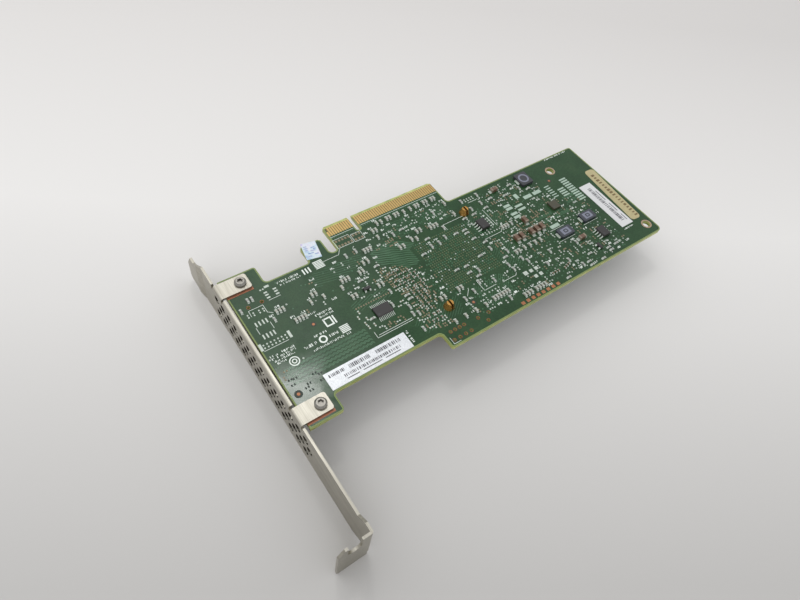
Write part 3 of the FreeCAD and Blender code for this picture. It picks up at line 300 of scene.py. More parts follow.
class Look:
    """A procedural material: a principled shader with nodes added in front of it."""

    def __init__(self, name, roughness, metallic=0.0, coat=0.0, specular=0.5):
        self.material = bpy.data.materials.new(name)
        self.material.use_nodes = True
        self.tree = self.material.node_tree
        self.shader = self.tree.nodes["Principled BSDF"]
        self.feed(self.shader, {"Roughness": roughness, "Metallic": metallic, "Coat Weight": coat,
                                "Coat Roughness": COAT_ROUGHNESS, "Specular IOR Level": specular})

    def feed(self, node, inputs):
        """Sets inputs of a node to values, or links them to outputs of other nodes."""
        for key, value in inputs.items():
            if isinstance(value, bpy.types.NodeSocket):
                self.tree.links.new(value, node.inputs[key])
            else:
                node.inputs[key].default_value = value

    def node(self, kind, inputs, **settings):
        """Adds a node and gives its outputs."""
        made = self.tree.nodes.new(kind)
        for key, value in settings.items():
            setattr(made, key, value)
        self.feed(made, inputs)
        return made.outputs

    def place(self, stretch=NO_STRETCH):
        """Place on the object, stretched along the axes."""
        place = self.node("ShaderNodeTexCoord", {})["Object"]
        return self.node("ShaderNodeMapping", {"Vector": place, "Scale": stretch})["Vector"]

    def noise(self, grain, detail=4.0, stretch=NO_STRETCH):
        """Noise with grains of the given size in millimetres."""
        inputs = {"Vector": self.place(stretch), "Scale": 1 / (grain * MM), "Detail": detail}
        return self.node("ShaderNodeTexNoise", inputs)["Fac"]

    def ramp(self, factor, stops):
        """Colours along a factor; stops are (position, colour) pairs."""
        made = self.tree.nodes.new("ShaderNodeValToRGB")
        while len(made.color_ramp.elements) < len(stops):
            made.color_ramp.elements.new(0.5)
        for element, (position, colour) in zip(made.color_ramp.elements, stops):
            element.position = position
            element.color = colour
        self.feed(made, {"Fac": factor})
        return made.outputs["Color"]

    def tones(self, factor, first, second, start=0.3, end=0.7):
        """Two colours along a factor, with a soft step from start to end."""
        return self.ramp(factor, [(start, first), (end, second)])

    def mix(self, factor, first, second):
        inputs = {"Factor": factor, "A": first, "B": second}
        return self.node("ShaderNodeMix", inputs, data_type="RGBA")["Result"]

    def math(self, operation, first, second=0.0):
        return self.node("ShaderNodeMath", {0: first, 1: second}, operation=operation)["Value"]

    def split(self, vector):
        outputs = self.node("ShaderNodeSeparateXYZ", {"Vector": vector})
        return [outputs[axis] for axis in "XYZ"]

    def facing(self, kind):
        """How far the surface faces along each axis, one way or the other."""
        normal = self.node("ShaderNodeNewGeometry", {})[kind]
        return [self.math("ABSOLUTE", part) for part in self.split(normal)]

    def spread(self, factor, low, high, start=0.0, end=1.0):
        """Values from low to high while the factor goes from start to end."""
        inputs = {"Value": factor, "From Min": start, "From Max": end, "To Min": low, "To Max": high}
        return self.node("ShaderNodeMapRange", inputs)["Result"]

    def rough(self, factor, low, high):
        self.feed(self.shader, {"Roughness": self.spread(factor, low, high)})

    def bump(self, height, depth):
        """Bump of the given depth in millimetres."""
        normal = self.node("ShaderNodeBump", {"Height": height, "Distance": depth * MM})["Normal"]
        self.feed(self.shader, {"Normal": normal})

    def colour(self, output):
        self.feed(self.shader, {"Base Color": output})


def grained(name, screen, spread, grain, roughness, bump, metallic=0, coat=0, stretch=NO_STRETCH):
    """Material whose colour, roughness and surface vary with one noise."""
    look = Look(name, roughness, metallic, coat)
    noise = look.noise(grain, stretch=stretch)
    colour = srgb(*screen)
    look.colour(look.tones(noise, shade(colour, 1 - spread), shade(colour, 1 + spread)))
    look.rough(noise, max(roughness - LESS_ROUGH, SMOOTHEST), min(roughness + MORE_ROUGH, 1.0))
    if bump:
        look.bump(noise, bump)
    return look.material


def solder_mask():
    """Glossy green over copper, with the yellow laminate in the cut edges and holes."""
    look = Look("solder_mask", roughness=0.34, **MASK_GLOSS)
    clouds = look.noise(grain=9.0, detail=3.0)
    weave = look.noise(grain=0.5, detail=2.0)
    green = look.ramp(clouds, [(0.3, srgb(30, 59, 32)), (0.55, srgb(37, 68, 38)), (0.75, srgb(46, 72, 42))])
    fine = look.tones(weave, srgb(26, 50, 30), srgb(48, 80, 50), *SHARP_STEP)
    layers = look.noise(grain=0.35, detail=2.0, stretch=(0.1, 0.1, 1.0))
    edge = look.tones(layers, srgb(138, 148, 76), srgb(184, 186, 116), *SHARP_STEP)
    flat = look.math("GREATER_THAN", look.facing("Normal")[2], FLAT_NORMAL)
    look.colour(look.mix(flat, edge, look.mix(WEAVE_SHARE, green, fine)))
    look.rough(clouds, *MASK_ROUGHNESS)
    smears = look.spread(look.noise(grain=5.0), 0.05, 0.15, *SHARP_STEP)
    look.feed(look.shader, {"Coat Roughness": smears})
    look.bump(weave, depth=0.006)
    return look.material


def trace_green():
    """Paler green of the mask where it runs over a track."""
    look = Look("trace_green", roughness=0.33, **MASK_GLOSS)
    clouds = look.noise(grain=6.0, detail=3.0)
    look.colour(look.tones(clouds, srgb(60, 97, 69), srgb(82, 118, 89)))
    look.rough(clouds, *MASK_ROUGHNESS)
    return look.material


def brushed_nickel():
    """Bright plated sheet with rolling lines, faint smudges, and a painted shade that darkens the walls of
    the vents.
    """
    look = Look("brushed_nickel", roughness=0.3, metallic=1.0)
    lines = look.noise(grain=0.4, detail=5.0, stretch=(1.0, 0.03, 1.0))
    smudge = look.noise(grain=14.0, detail=3.0)
    bright = look.tones(lines, srgb(166, 162, 150), srgb(190, 186, 174))
    dull = look.tones(lines, srgb(150, 146, 134), srgb(180, 176, 164))
    x, y, z = look.facing("True Normal")
    across = look.math("LESS_THAN", x, WALL_ACROSS)
    slanted = look.math("LESS_THAN", look.math("MAXIMUM", y, z), WALL_SLANT)
    from_middle = look.math("SUBTRACT", look.split(look.place())[1], VENTS_MIDDLE_Y * MM)
    among_vents = look.math("LESS_THAN", look.math("ABSOLUTE", from_middle), VENTS_REACH * MM)
    # Painted shade: the slanted walls among the vents are mixed to a dark grey, as if in shadow.
    vent_wall_shade = look.math("MULTIPLY", look.math("MULTIPLY", across, slanted), among_vents)
    look.colour(look.mix(vent_wall_shade, look.mix(smudge, bright, dull), srgb(72, 68, 60)))
    look.rough(smudge, low=0.3, high=0.48)
    look.bump(lines, depth=0.004)
    return look.material


def pearl():
    """Pearly sticker whose tint drifts between pale blue, violet and white."""
    look = Look("pearl", roughness=0.25, coat=0.5)
    drift = look.noise(grain=2.6, detail=3.0)
    look.colour(look.ramp(drift, [(0.25, srgb(130, 164, 202)), (0.42, srgb(188, 206, 216)),
                                  (0.55, srgb(210, 214, 220)), (0.68, srgb(182, 170, 208)),
                                  (0.82, srgb(132, 142, 192))]))
    look.rough(drift, low=0.18, high=0.35)
    return look.material


def silver_label():
    """Metallised label paper, bright with a fine tooth."""
    look = Look("silver_label", roughness=0.36, metallic=0.25)
    tooth = look.noise(grain=0.35)
    pale = look.tones(tooth, srgb(202, 204, 206), srgb(230, 232, 234))
    grey = look.tones(tooth, srgb(186, 189, 192), srgb(218, 220, 222))
    look.colour(look.mix(look.noise(grain=7.0, detail=2.0), pale, grey))
    look.bump(tooth, depth=0.008)
    return look.material


def table_top():
    """Pale table with a painted shade that grows darker towards the front and a little towards the back."""
    look = Look("table_top", roughness=0.8, specular=0.15)
    x, y, _ = look.split(look.place())
    sideways, backwards = [look.math("MULTIPLY", part, share) for part, share in zip((x, y), TABLE_SHADE_LEAN)]
    depth = look.spread(look.math("ADD", sideways, backwards), 0.0, 1.0, *TABLE_SHADE_DEPTHS)
    # Painted shade: the ramp's stops darken the table towards the front and a little towards the back.
    look.colour(look.ramp(depth, [(0.03, srgb(186, 184, 181)), (0.3, srgb(213, 211, 208)),
                                  (0.45, srgb(222, 220, 217)), (0.95, srgb(206, 203, 200))]))
    return look.material


# Screen colour, spread of its shade, grain, roughness, bump, metal, coat and stretch; grain and bump in mm
GRAINED = {
    "gold": ((188, 158, 98), 0.12, 0.8, 0.38, 0.002, 0.6),
    "copper": ((146, 94, 70), 0.18, 0.6, 0.42, 0.003, 0.5),
    "dull_copper": ((124, 112, 88), 0.16, 0.6, 0.45, 0.003, 0.2),
    "salmon_copper": ((162, 106, 72), 0.16, 0.6, 0.42, 0.003, 0.4),
    "hole_rim": ((116, 72, 50), 0.2, 0.4, 0.42, 0.003, 0.4),
    "tinned_rim": ((166, 142, 118), 0.1, 0.5, 0.42, 0.003, 0.4),
    "tin": ((182, 190, 180), 0.14, 0.5, 0.45, 0.004, 0.2),
    "dark_tin": ((136, 124, 108), 0.16, 0.4, 0.42, 0.006, 0.3),
    "solder": ((184, 190, 182), 0.16, 0.3, 0.36, 0.01, 0.35),
    "veiled_land": ((158, 178, 162), 0.1, 0.6, 0.42, 0.003, 0, 0.1),
    "screw": ((138, 135, 128), 0.22, 0.4, 0.36, 0.008, 1.0),
    "brass": ((190, 144, 78), 0.18, 0.7, 0.24, 0.004, 0.9),
    "bare_laminate": ((96, 84, 46), 0.12, 0.7, 0.5, 0.004),
    "mask_edge": ((118, 134, 74), 0.16, 0.7, 0.5, 0.004),
    "array_dot": ((84, 94, 58), 0.24, 1.0, 0.42, 0.003),
    "mask_opening": ((32, 44, 34), 0.16, 0.5, 0.5, 0.004),
    "spring": ((150, 152, 156), 0.1, 0.3, 0.3, 0.003, 1.0),
    "cage": ((206, 206, 202), 0.06, 0.5, 0.3, 0.003, 1.0, 0, (0.05, 1, 1)),
    "lid": ((186, 186, 184), 0.07, 0.5, 0.34, 0.003, 1.0, 0, (1, 0.05, 1)),
    "sink": ((166, 168, 172), 0.09, 0.35, 0.36, 0.008, 1.0, 0, (0.04, 1, 1)),
    "rubber": ((150, 152, 160), 0.08, 0.4, 0.7, 0.01),
    "epoxy": ((46, 44, 43), 0.22, 0.14, 0.55, 0.012),
    "olive_epoxy": ((64, 62, 46), 0.2, 0.3, 0.5, 0.01),
    "moulding": ((38, 38, 40), 0.16, 0.3, 0.5, 0.01),
    "laminate": ((66, 118, 74), 0.12, 0.5, 0.45, 0.004, 0, 0.2),
    "ferrite": ((44, 48, 57), 0.2, 0.3, 0.42, 0.012, 0, 0.2),
    "ferrite_top": ((116, 119, 134), 0.12, 0.5, 0.4, 0.006, 0, 0.2),
    "ferrite_dark": ((50, 52, 56), 0.2, 0.25, 0.5, 0.014),
    "ceramic": ((160, 160, 148), 0.2, 0.4, 0.42, 0.004, 0, 0.15),
    "ceramic_brown": ((124, 104, 84), 0.16, 0.5, 0.4, 0.004, 0, 0.2),
    "ceramic_dark": ((100, 75, 58), 0.18, 0.5, 0.45, 0.004, 0, 0.1),
    "glaze": ((140, 140, 134), 0.2, 0.3, 0.38, 0.004, 0, 0.3),
    "can": ((196, 196, 194), 0.06, 0.6, 0.24, 0.002, 1.0),
    "tantalum": ((58, 55, 50), 0.14, 0.2, 0.5, 0.01),
    "lens": ((232, 234, 220), 0.04, 0.5, 0.25, 0, 0, 0.5),
    "silk": ((224, 230, 222), 0.06, 0.3, 0.55, 0.006),
    "white_paper": ((206, 206, 206), 0.03, 0.3, 0.6, 0.006),
    "tan_paper": ((174, 163, 122), 0.08, 1.6, 0.6, 0.006),
    "ink": ((74, 74, 78), 0.2, 0.3, 0.6, 0.004),
    "brown_ink": ((108, 88, 52), 0.16, 0.4, 0.6, 0.004),
    "violet_ink": ((150, 142, 188), 0.16, 0.4, 0.5, 0.004),
    "blue_ink": ((96, 124, 178), 0.2, 0.4, 0.5, 0.004),
    "hole": ((34, 38, 30), 0.3, 0.2, 0.6, 0.004),
}
LOOKS = {name: grained(name, *values) for name, values in GRAINED.items()}
for make in (solder_mask, trace_green, brushed_nickel, pearl, silver_label):
    LOOKS[make.__name__] = make()

NODE_LOOKS = {
    "circuit_board": "solder_mask", "mounting_bracket": "brushed_nickel", "ground_pads": "copper",
    "contacts_solder_side": "gold", "contacts_component_side": "gold", "bracket_screws": "screw",
    "bracket_nuts": "screw", "controller_substrate": "laminate", "controller_lid": "lid",
    "thermal_pad": "rubber", "heat_sink": "sink", "push_pins": "brass", "push_pin_springs": "spring",
    "cable_port_shell_a": "cage", "cable_port_shell_b": "cage", "cable_port_insert_a": "moulding",
    "cable_port_insert_b": "moulding", "driver_chip": "epoxy", "switch_chips": "epoxy",
    "transistor": "epoxy", "flash_chip": "epoxy", "regulator_chip": "olive_epoxy", "crystal_can": "can",
    "power_inductors": "ferrite", "filter_inductor": "ferrite_dark",
    "regulator_inductors": "ferrite_dark", "bulk_capacitors": "tantalum",
    "status_lights": "lens", "wide_label": "silver_label", "white_label": "white_paper",
    "tan_label": "tan_paper", "inspection_sticker": "pearl",
}


def paint_nodes():
    """Looks of the nodes that stay in sight; leads and terminals are tinned."""
    for name, node in nodes.items():
        look = "tin" if name.endswith(("_leads", "_terminals")) else NODE_LOOKS.get(name)
        if look is None:
            continue
        for index in range(len(node.material_slots)):
            node.material_slots[index].material = LOOKS[look]
        if not node.material_slots:
            node.data.materials.append(LOOKS[look])


# Chip parts: ceramic bodies between tinned ends, with solder and lands

# Shares of the solid that each one stands for
END_SHARE = 0.21
BODY_SHARE = 0.62
BODY_WIDTH = 0.93
BODY_HEIGHT = 0.95
SOLDER_HALF_WIDTH = 0.42
SOLDER_HEIGHT = 0.4
LAND_REACH = 0.48
LAND_WIDTH = 0.92

# Millimetres
END_BEVEL = 0.05
SOLDER_ROOT = 0.02
SOLDER_WAIST = 0.1
SOLDER_REACH = 0.2
SOLDER_TOE = 1.2 * PAD_T

# Node, slot, look of the body and look of the ends
CHIP_NODES = (
    ("large_capacitors", "capacitor_brown", "ceramic_dark", "dark_tin"),
    ("chip_capacitors", "capacitor_brown", "ceramic", "tin"),
    ("chip_resistors", "resistor_grey", "glaze", "tin"),
    ("small_capacitors", "capacitor_brown", "ceramic_brown", "tin"),
    ("decoupling_capacitors", "capacitor_brown", "ceramic", "tin"),
)


def own_axes(low, high):
    """Length and width of a chip part, and functions that give places and sizes in x and y from its own."""
    middle = (low + high) / 2
    size = high - low
    if size.x > size.y:
        return size.x, size.y, lambda a, b: (middle.x + a, middle.y + b), lambda a, b: (a, b)
    return size.y, size.x, lambda a, b: (middle.x - b, middle.y + a), lambda a, b: (b, a)


def box_round(x, y, size_x, size_y):
    """Box (left, right, low, high) with its middle at a place."""
    return x - size_x / 2, x + size_x / 2, y - size_y / 2, y + size_y / 2


def clear_of(box, others):
    """True if a box (left, right, low, high) meets none of the others."""
    return not any(box[0] < right and left < box[1] and box[2] < high and low < box[3]
                   for left, right, low, high in others)


def chip_part(low, high, bodies, ends, solder, lands, placed):
    """One body, and at both its ends a tinned cap, a wedge of solder and a land."""
    length, width, at, sized = own_axes(low, high)
    side = 1 if low.z > 0 else -1
    root = TOP if side > 0 else UNDER
    height = side * (high.z - low.z)
    body = sized(length * BODY_SHARE, width * BODY_WIDTH)
    bodies.block(*at(0, 0), *body, root, root + height * BODY_HEIGHT, END_BEVEL / 2)
    cap = length * END_SHARE
    reach = width * LAND_REACH + cap
    for way in (-1, 1):
        end = way * length / 2
        ends.block(*at(end - way * cap / 2, 0), *sized(cap, width), root, root + height, END_BEVEL)
        wedge = []
        for across in (-width * SOLDER_HALF_WIDTH, width * SOLDER_HALF_WIDTH):
            foot, waist, toe = [at(end + way * shift, across)
                                for shift in (-SOLDER_ROOT, SOLDER_WAIST, SOLDER_REACH)]
            wedge.append([(*foot, root), (*toe, root), (*toe, root + side * SOLDER_TOE),
                          (*waist, root + height * SOLDER_HEIGHT / 2),
                          (*foot, root + height * SOLDER_HEIGHT)])
        solder.loft(wedge)
        place = at(end - way * cap + way * reach / 2, 0)
        size = sized(reach, width * LAND_WIDTH)
        land = box_round(*place, *size)
        if clear_of(land, placed[side]):
            lands.slab(*place, *size, *layer(PAD_T, side))
            placed[side].append(land)


def dress_chip_parts():
    """Chip parts of both sides; gives the places of their lands for each side."""
    solder = Shape()
    lands = Shape()
    placed = {1: [], -1: []}
    for name, slot, look, end_look in CHIP_NODES:
        bodies = Shape()
        ends = Shape()
        for low, high in solids_of(name):
            chip_part(low, high, bodies, ends, solder, lands, placed)
        body_piece = bodies.build(name + "_bodies", look, slot)
        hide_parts(name)
        ends.build(name + "_ends", end_look, "lead_tin")
    solder.build("chip_part_solder", "solder", "lead_tin")
    lands.build("chip_part_lands", "tin", "lead_tin")
    return placed


# Print, lands, tracks and through holes on the board

# Layers of a side, in the order of building: look and slot
LAYERS = {
    "print": ("silk", "label_white"), "lands": ("tin", "lead_tin"), "gold_lands": ("gold", "gold_plate"),
    "copper_lands": ("dull_copper", "bare_copper"), "edge_lands": ("salmon_copper", "bare_copper"),
    "hole_rims": ("hole_rim", "bare_copper"), "tinned_rims": ("tinned_rim", "bare_copper"),
    "bare_laminate": ("bare_laminate", "solder_mask"), "mask_edge": ("mask_edge", "solder_mask"),
    "veiled_lands": ("veiled_land", "solder_mask"), "mask_openings": ("mask_opening", "solder_mask"),
    "array_dots": ("array_dot", "bare_copper"), "tracks": ("trace_green", "solder_mask"),
    "through_rings": ("tin", "lead_tin"), "masked_rings": ("trace_green", "solder_mask"),
    "through_holes": ("hole", "chip_black"),
}

# Widths of printed lines, and widths and step of printed strokes
LINE_WIDTH = 0.14
BOLD_WIDTH = 0.55
STROKE_WIDTHS = (0.16, 0.22, 0.3)
STROKE_STEP = 0.62

# Shares of a row's height and step that its strokes take, and the share of strokes that are made
STROKE_HEIGHTS = (1.0, 1.0, 0.7, 0.45)
STROKE_STEPS = (0.6, 0.8, 1.0)
STROKE_SHARE = 0.86

# Through holes: the ring's inside and the dark middle, as shares of the radius
RING_INSIDE = 0.32
DARK_MIDDLE = 0.34


def standing_on(side):
    """Boxes (left, right, low, high) of the parts that stand on one side of the board."""
    boxes = []
    for name in nodes:
        if name in ("circuit_board", "mounting_bracket"):
            continue
        for low, high in solids_of(name):
            if (high.z > TOP + ROOT and side > 0) or (low.z < UNDER - ROOT and side < 0):
                boxes.append((low.x, high.x, low.y, high.y))
    return boxes


class Board:
    """Layers on the solder side (1) or on the component side (-1) of the board."""

    def __init__(self, side, placed):
        self.side = side
        self.shapes = {name: Shape() for name in LAYERS}
        self.taken = standing_on(side) + placed[side]

    def claim(self, x, y, reach_x, reach_y):
        """True if nothing stands within reach of a place, which is then taken."""
        box = box_round(x, y, 2 * reach_x, 2 * reach_y)
        if not clear_of(box, self.taken):
            return False
        self.taken.append(box)
        return True

    def keep_clear(self, x, y, size_x, size_y):
        self.taken.append(box_round(x, y, size_x, size_y))

    def ring(self, name, x, y, inner, outer, sides, thickness=PAD_T):
        self.shapes[name].ring(x, y, inner, outer, *layer(thickness, self.side), sides)

    def disc(self, name, x, y, radius, sides, thickness=PAD_T):
        self.shapes[name].disc(x, y, radius, *layer(thickness, self.side), sides)

    def line(self, path, width=LINE_WIDTH):
        self.shapes["print"].ribbon(path, width, *layer(SILK_T, self.side))
        for (ax, ay), (bx, by) in zip(path, path[1:]):
            self.keep_clear((ax + bx) / 2, (ay + by) / 2, abs(bx - ax) + width, abs(by - ay) + width)

    def ticks(self, x, y, length, height, step=STROKE_STEP, upright=False):
        """Row of printed strokes that stands in for small lettering."""
        spot = 0.0
        face = layer(SILK_T, self.side)
        if upright:
            self.keep_clear(x, y - length / 2, height, length)
        else:
            self.keep_clear(x + length / 2, y, length, height)
        while spot < length:
            tall = height * dice.choice(STROKE_HEIGHTS)
            wide = dice.choice(STROKE_WIDTHS)
            shift = (height - tall) / 2 * dice.choice((-1, 1))
            if dice.random() < STROKE_SHARE:
                self.shapes["print"].stroke(x, y, spot, shift, wide, tall, face, upright)
            spot += step * dice.choice(STROKE_STEPS)

    def land(self, x, y, size_x, size_y, name="lands"):
        self.shapes[name].slab(x, y, size_x, size_y, *layer(PAD_T, self.side))
        self.keep_clear(x, y, size_x, size_y)

    def land_rows(self, xs, ys, size_x, size_y, name):
        for x in xs:
            for y in ys:
                self.land(x, y, size_x, size_y, name)

    def through(self, x, y, radius, name):
        """Plated through hole: a ring round a dark middle."""
        self.ring(name, x, y, radius * RING_INSIDE, radius, sides=10, thickness=VIA_T)
        self.disc("through_holes", x, y, radius * DARK_MIDDLE, sides=8, thickness=HOLE_T)

    def run(self, path, width):
        self.shapes["tracks"].ribbon(path, width, *layer(TRACE_T, self.side))

    def build(self, prefix):
        for name, (look, slot) in LAYERS.items():
            if self.shapes[name].faces:
                self.shapes[name].build(prefix + "_" + name, look, slot)


# Lands without parts, by layer: places in x and in y, sizes in x and y
LAND_ROWS = {
    "lands": (
        ((-53.3, -52, -50.65, -49.4), (-27, -32.5), 0.5, 1.9),
        ((-54, -51.9, -49.8, -48.3), (-22.2, -23.2), 0.5, 0.6),
        (span(-55, 7, 1.34), (-35.3, -36.5), 0.5, 0.6),
        ((-56.1, -45.5), (-35.7,), 0.95, 2.9), ((-44.4, -40.9), (-16.6, -17.75, -19), 1.3, 0.6),
        ((-42.9,), (-14.4,), 1.8, 0.9), ((45.6, 48.2), (-57.3, -60.2), 1.5, 1.4),
        ((42.9,), (-57.2,), 1.9, 1.7), (span(25, 4, 1.5), (-56.9,), 0.55, 0.55),
        (span(42.4, 6, 1.3), (-34.6,), 0.5, 0.6), (span(46, 4, 1.3), (-15.4, -16.4), 0.5, 0.6),
        ((48,), span(-27.9, 4, -1.27), 0.6, 1.0),
    ),
    "copper_lands": (
        (span(-11, 5, 1.35), (-8.9, -11.4), 0.8, 1.0), (span(-3.8, 3, 1.4), (-9.3, -11.6), 0.8, 1.0),
        (span(-21, 14, 1.05), (-38.5,), 0.5, 0.6),
    ),
    "edge_lands": ((span(32.8, 8, 2.54), (-67.2,), 1.5, 1.3),),
    "veiled_lands": (
        ((91.9,), span(-26.4, 11, -1.28), 3.6, 0.75), ((87.2,), span(-30.4, 4, -1.28), 3.4, 0.7),
        ((82.4,), span(-26.4, 6, -1.28), 2.6, 0.5), ((59.6,), (-26.7, -28.4, -31.5, -33.4), 3.2, 1.25),
        ((64.3,), (-28.9, -31), 3.8, 1.1), ((71.2, 76.4), (-26.8,), 4.2, 1.7), ((66.8,), (-24.4,), 1.8, 2.6),
        ((70,), (-44.9,), 4.6, 1.7),
    ),
}

# Pairs of dark openings in the mask
OPENING_PLACES = ((-52.2, -51.2), (-53.8, -50.9), (-53.8, -53), (-49.3, -55), (-50.5, -56), (-49.8, -57.5),
                  (-46.1, -52.8), (-44.5, -53.7), (-45, -56))

# Sighting marks: place, radius of the disc, radius of the opening
SIGHTING_MARKS = ((-36.8, -36.4, 0.5, 0.95), (17, -57.4, 0.5, 0.95), (86, -24.3, 0.5, 0.95),
                  (-54, -56.6, 0.55, 1.4))

# Leads whose lands reach out below the feet, and how far in x and y
LEAD_LANDS = (("driver_chip_leads", 0.0, 0.5), ("switch_chip_leads", 0.5, 0.0))


def solder_side_lands(board):
    """Lands without parts, lands below the leads of chips, and openings of the mask."""
    for name, rows in LAND_ROWS.items():
        for row in rows:
            board.land_rows(*row, name)
    for name, reach_x, reach_y in LEAD_LANDS:
        for low, high in solids_of(name):
            x, y = (low.x + high.x) / 2, (low.y + high.y) / 2
            board.land(x, y, high.x - low.x + 2 * reach_x, high.y - low.y + 2 * reach_y)
    shift = 0.5
    for x, y in OPENING_PLACES:
        board.land_rows((x - shift, x + shift), (y,), size_x=0.55, size_y=0.8, name="mask_openings")
    for x, y, radius, opening in SIGHTING_MARKS:
        board.disc("edge_lands", x, y, radius, sides=20)
        board.ring("mask_openings", x, y, radius, opening, sides=28, thickness=TRACE_T)
        board.keep_clear(x, y, 2 * opening, 2 * opening)


PRINT_LINES = (
    [(-53.9, -28.1), (-53.9, -31)], [(-48.7, -28.1), (-48.7, -31)],
    [(-53, -23.4), (-53, -20.8), (-47.6, -20.8), (-47.6, -24.2), (-46, -25.4)],
    [(-55.8, -37.5), (-46.7, -37.5)], [(-44.9, -20.1), (-40.3, -20.1)],
    [(-20, -14.7), (-13.4, -14.7), (-11.8, -12.6)], [(-20, -51.5), (-6.2, -51.5)],
    [(-20.9, -49.7), (-20.9, -52.3), (-6.2, -52.3)], [(30, -25), (30, -22.1), (40, -22.1)],
    [(24, -50.4), (24, -55.4), (29.6, -55.4)], [(32.5, -55.9), (39, -55.9), (40, -55.1)],
    [(40, -36.3), (48.5, -36.3), (50.4, -34.2)], [(46.4, -17.5), (50.6, -17.5)],
    [(49.2, -23.4), (49.2, -33)], [(19.2, -51.4), (18.9, -52.1), (16.8, -54.2)],
    frame_round(-12, -7.9, -5.2, -12.2), frame_round(-4.6, -8.6, -0.2, -12.4),
    [(0.2, -65), (0.2, -67.8), (3.2, -67.8)], [(66.2, -46.3), (73.8, -46.3)],
    [(65.8, -52.4), (74.4, -52.4)], [(81.2, -50.6), (89.4, -50.6)], [(95.6, -60.7), (99.6, -60.7)],
)

# Rings: place, radius and width
PRINT_RINGS = ((-49.2, -45.6, 1.8, 0.4), (-49.2, -45.6, 0.9, 0.35), (-37, -43.2, 1.5, 0.6))

# Rows of strokes: start, length and height; the first one runs down the board
UPRIGHT_ROW = (-11.3, -54.9, 5.0, 0.8)
PRINT_ROWS = (
    (-39, -15, 9.2, 0.9), (-38.4, -16.3, 8.0, 0.7), (-34.4, -33.8, 6.2, 0.9), (-33.4, -35.1, 5.2, 0.8),
    (-55.2, -40.4, 8.6, 0.8), (-55, -41.5, 8.4, 0.8), (-54.6, -42.6, 7.6, 0.8), (-54.2, -43.7, 3.4, 0.7),
    (-44, -43.2, 4.6, 1.2), (-34.4, -43.2, 3.4, 1.0), (-41.8, -45.5, 14.2, 0.8), (-39, -40.9, 4.4, 0.8),
    (-36.4, -32.3, 2.8, 0.7), (92.6, -13.7, 13.6, 0.6), (95, -61, 5.0, 0.5),
)

# Stacks of level bars: left, right, first height, count
BAR_STACKS = ((-23.9, -20.2, -13.4, 6), (-30.2, -26.8, -42, 5))

# Bold lines: three upright bars, and a hollow square with a bar beside it
BOLD_BARS = [[(x, -14.2), (x, -16.6)] for x in (-28.6, -27.4, -26.2)]
BOLD_SQUARE = (
    [(-33.2, -36.6), (-30.6, -36.6), (-30.6, -39.6), (-33.2, -39.6), (-33.2, -36.3)],
    [(-29.6, -36.4), (-29.6, -39.8)],
)


def solder_side_print(board):
    """Outlines, rings, bars and rows of strokes."""
    for path in PRINT_LINES:
        board.line(path)
    low, high = node_box("contacts_solder_side")
    below, gap = 0.75, 0.6
    y = low.y - below
    for left, right in ((low.x, -KEY_HALF - gap), (KEY_HALF + gap, high.x)):
        board.line([(left, y), (right, y)], width=0.12)
    board.ticks(*UPRIGHT_ROW, upright=True)
    for x, y, radius, width in PRINT_RINGS:
        board.ring("print", x, y, radius - width, radius, sides=28, thickness=SILK_T)
        board.keep_clear(x, y, 2 * radius, 2 * radius)
    for path in BOLD_BARS:
        board.line(path, BOLD_WIDTH)
    for left, right, first, count in BAR_STACKS:
        for y in span(first, count, step=-0.62):
            board.line([(left, y), (right, y)], width=0.4)
    for row in PRINT_ROWS:
        board.ticks(*row)
    for path in BOLD_SQUARE:
        board.line(path, BOLD_WIDTH)


def place_name(board, x, y):
    """Short row of strokes with its middle at a place, if the place is free."""
    if board.claim(x, y, reach_x=1.05, reach_y=0.5):
        board.ticks(x - 0.9, y, length=1.7, height=0.9, step=0.55)


def names_beside_parts(board, node_names):
    """Short rows of strokes beside some of the parts."""
    unnamed_share, above, aside, raised = 0.6, 1.15, 1.85, 0.3
    for name in node_names:
        for low, high in solids_of(name):
            if dice.random() < unnamed_share:
                continue
            middle = (low + high) / 2
            size = high - low
            if size.y > size.x:
                place_name(board, middle.x, high.y + above)
            else:
                place_name(board, high.x + aside, middle.y + raised)


def inside(outline, x, y):
    """True for a place inside the outline."""
    hit = False
    for (ax, ay), (bx, by) in zip(outline, outline[1:] + outline[:1]):
        if (ay > y) != (by > y) and x < (bx - ax) * (y - ay) / (by - ay) + ax:
            hit = not hit
    return hit


def spot_in(zone):
    """Seeded place in a zone (left, right, low, high)."""
    left, right, low, high = zone
    return dice.uniform(left, right), dice.uniform(low, high)


def scatter_through_holes(board, zone, count):
    """Through holes at seeded places that keep apart."""
    tries, reach, tinned_share, radii = 6, 0.45, 0.35, (0.25, 0.28, 0.33)
    made = 0
    for _ in range(count * tries):
        x, y = spot_in(zone)
        if made < count and board.claim(x, y, reach, reach):
            radius = dice.choice(radii)
            board.through(x, y, radius, "through_rings" if dice.random() < tinned_share else "masked_rings")
            made += 1


def land_pair(board, x, y, name, middle=None):
    """Two small lands, upright or sideways, where nothing stands; the middle may be filled too."""
    upright_share, shift, size, middle_size = 0.65, 0.5, 0.56, 0.42
    across, along = 0.35, 0.82
    upright = dice.random() < upright_share
    reach = (across, along) if upright else (along, across)
    if not board.claim(x, y, *reach):
        return
    for way in (-shift, shift):
        place = (x, y + way) if upright else (x + way, y)
        board.land(*place, size, size, name)
    if middle:
        board.land(x, y, middle_size, middle_size, middle)


def scatter_land_pairs(board, zone, count, name):
    """Pairs of small lands without a part at seeded places that nothing covers."""
    for _ in range(count):
        land_pair(board, *spot_in(zone), name)


def limits(outline):
    """Left, right, low and high limit of an outline."""
    xs, ys = zip(*outline)
    return min(xs), max(xs), min(ys), max(ys)


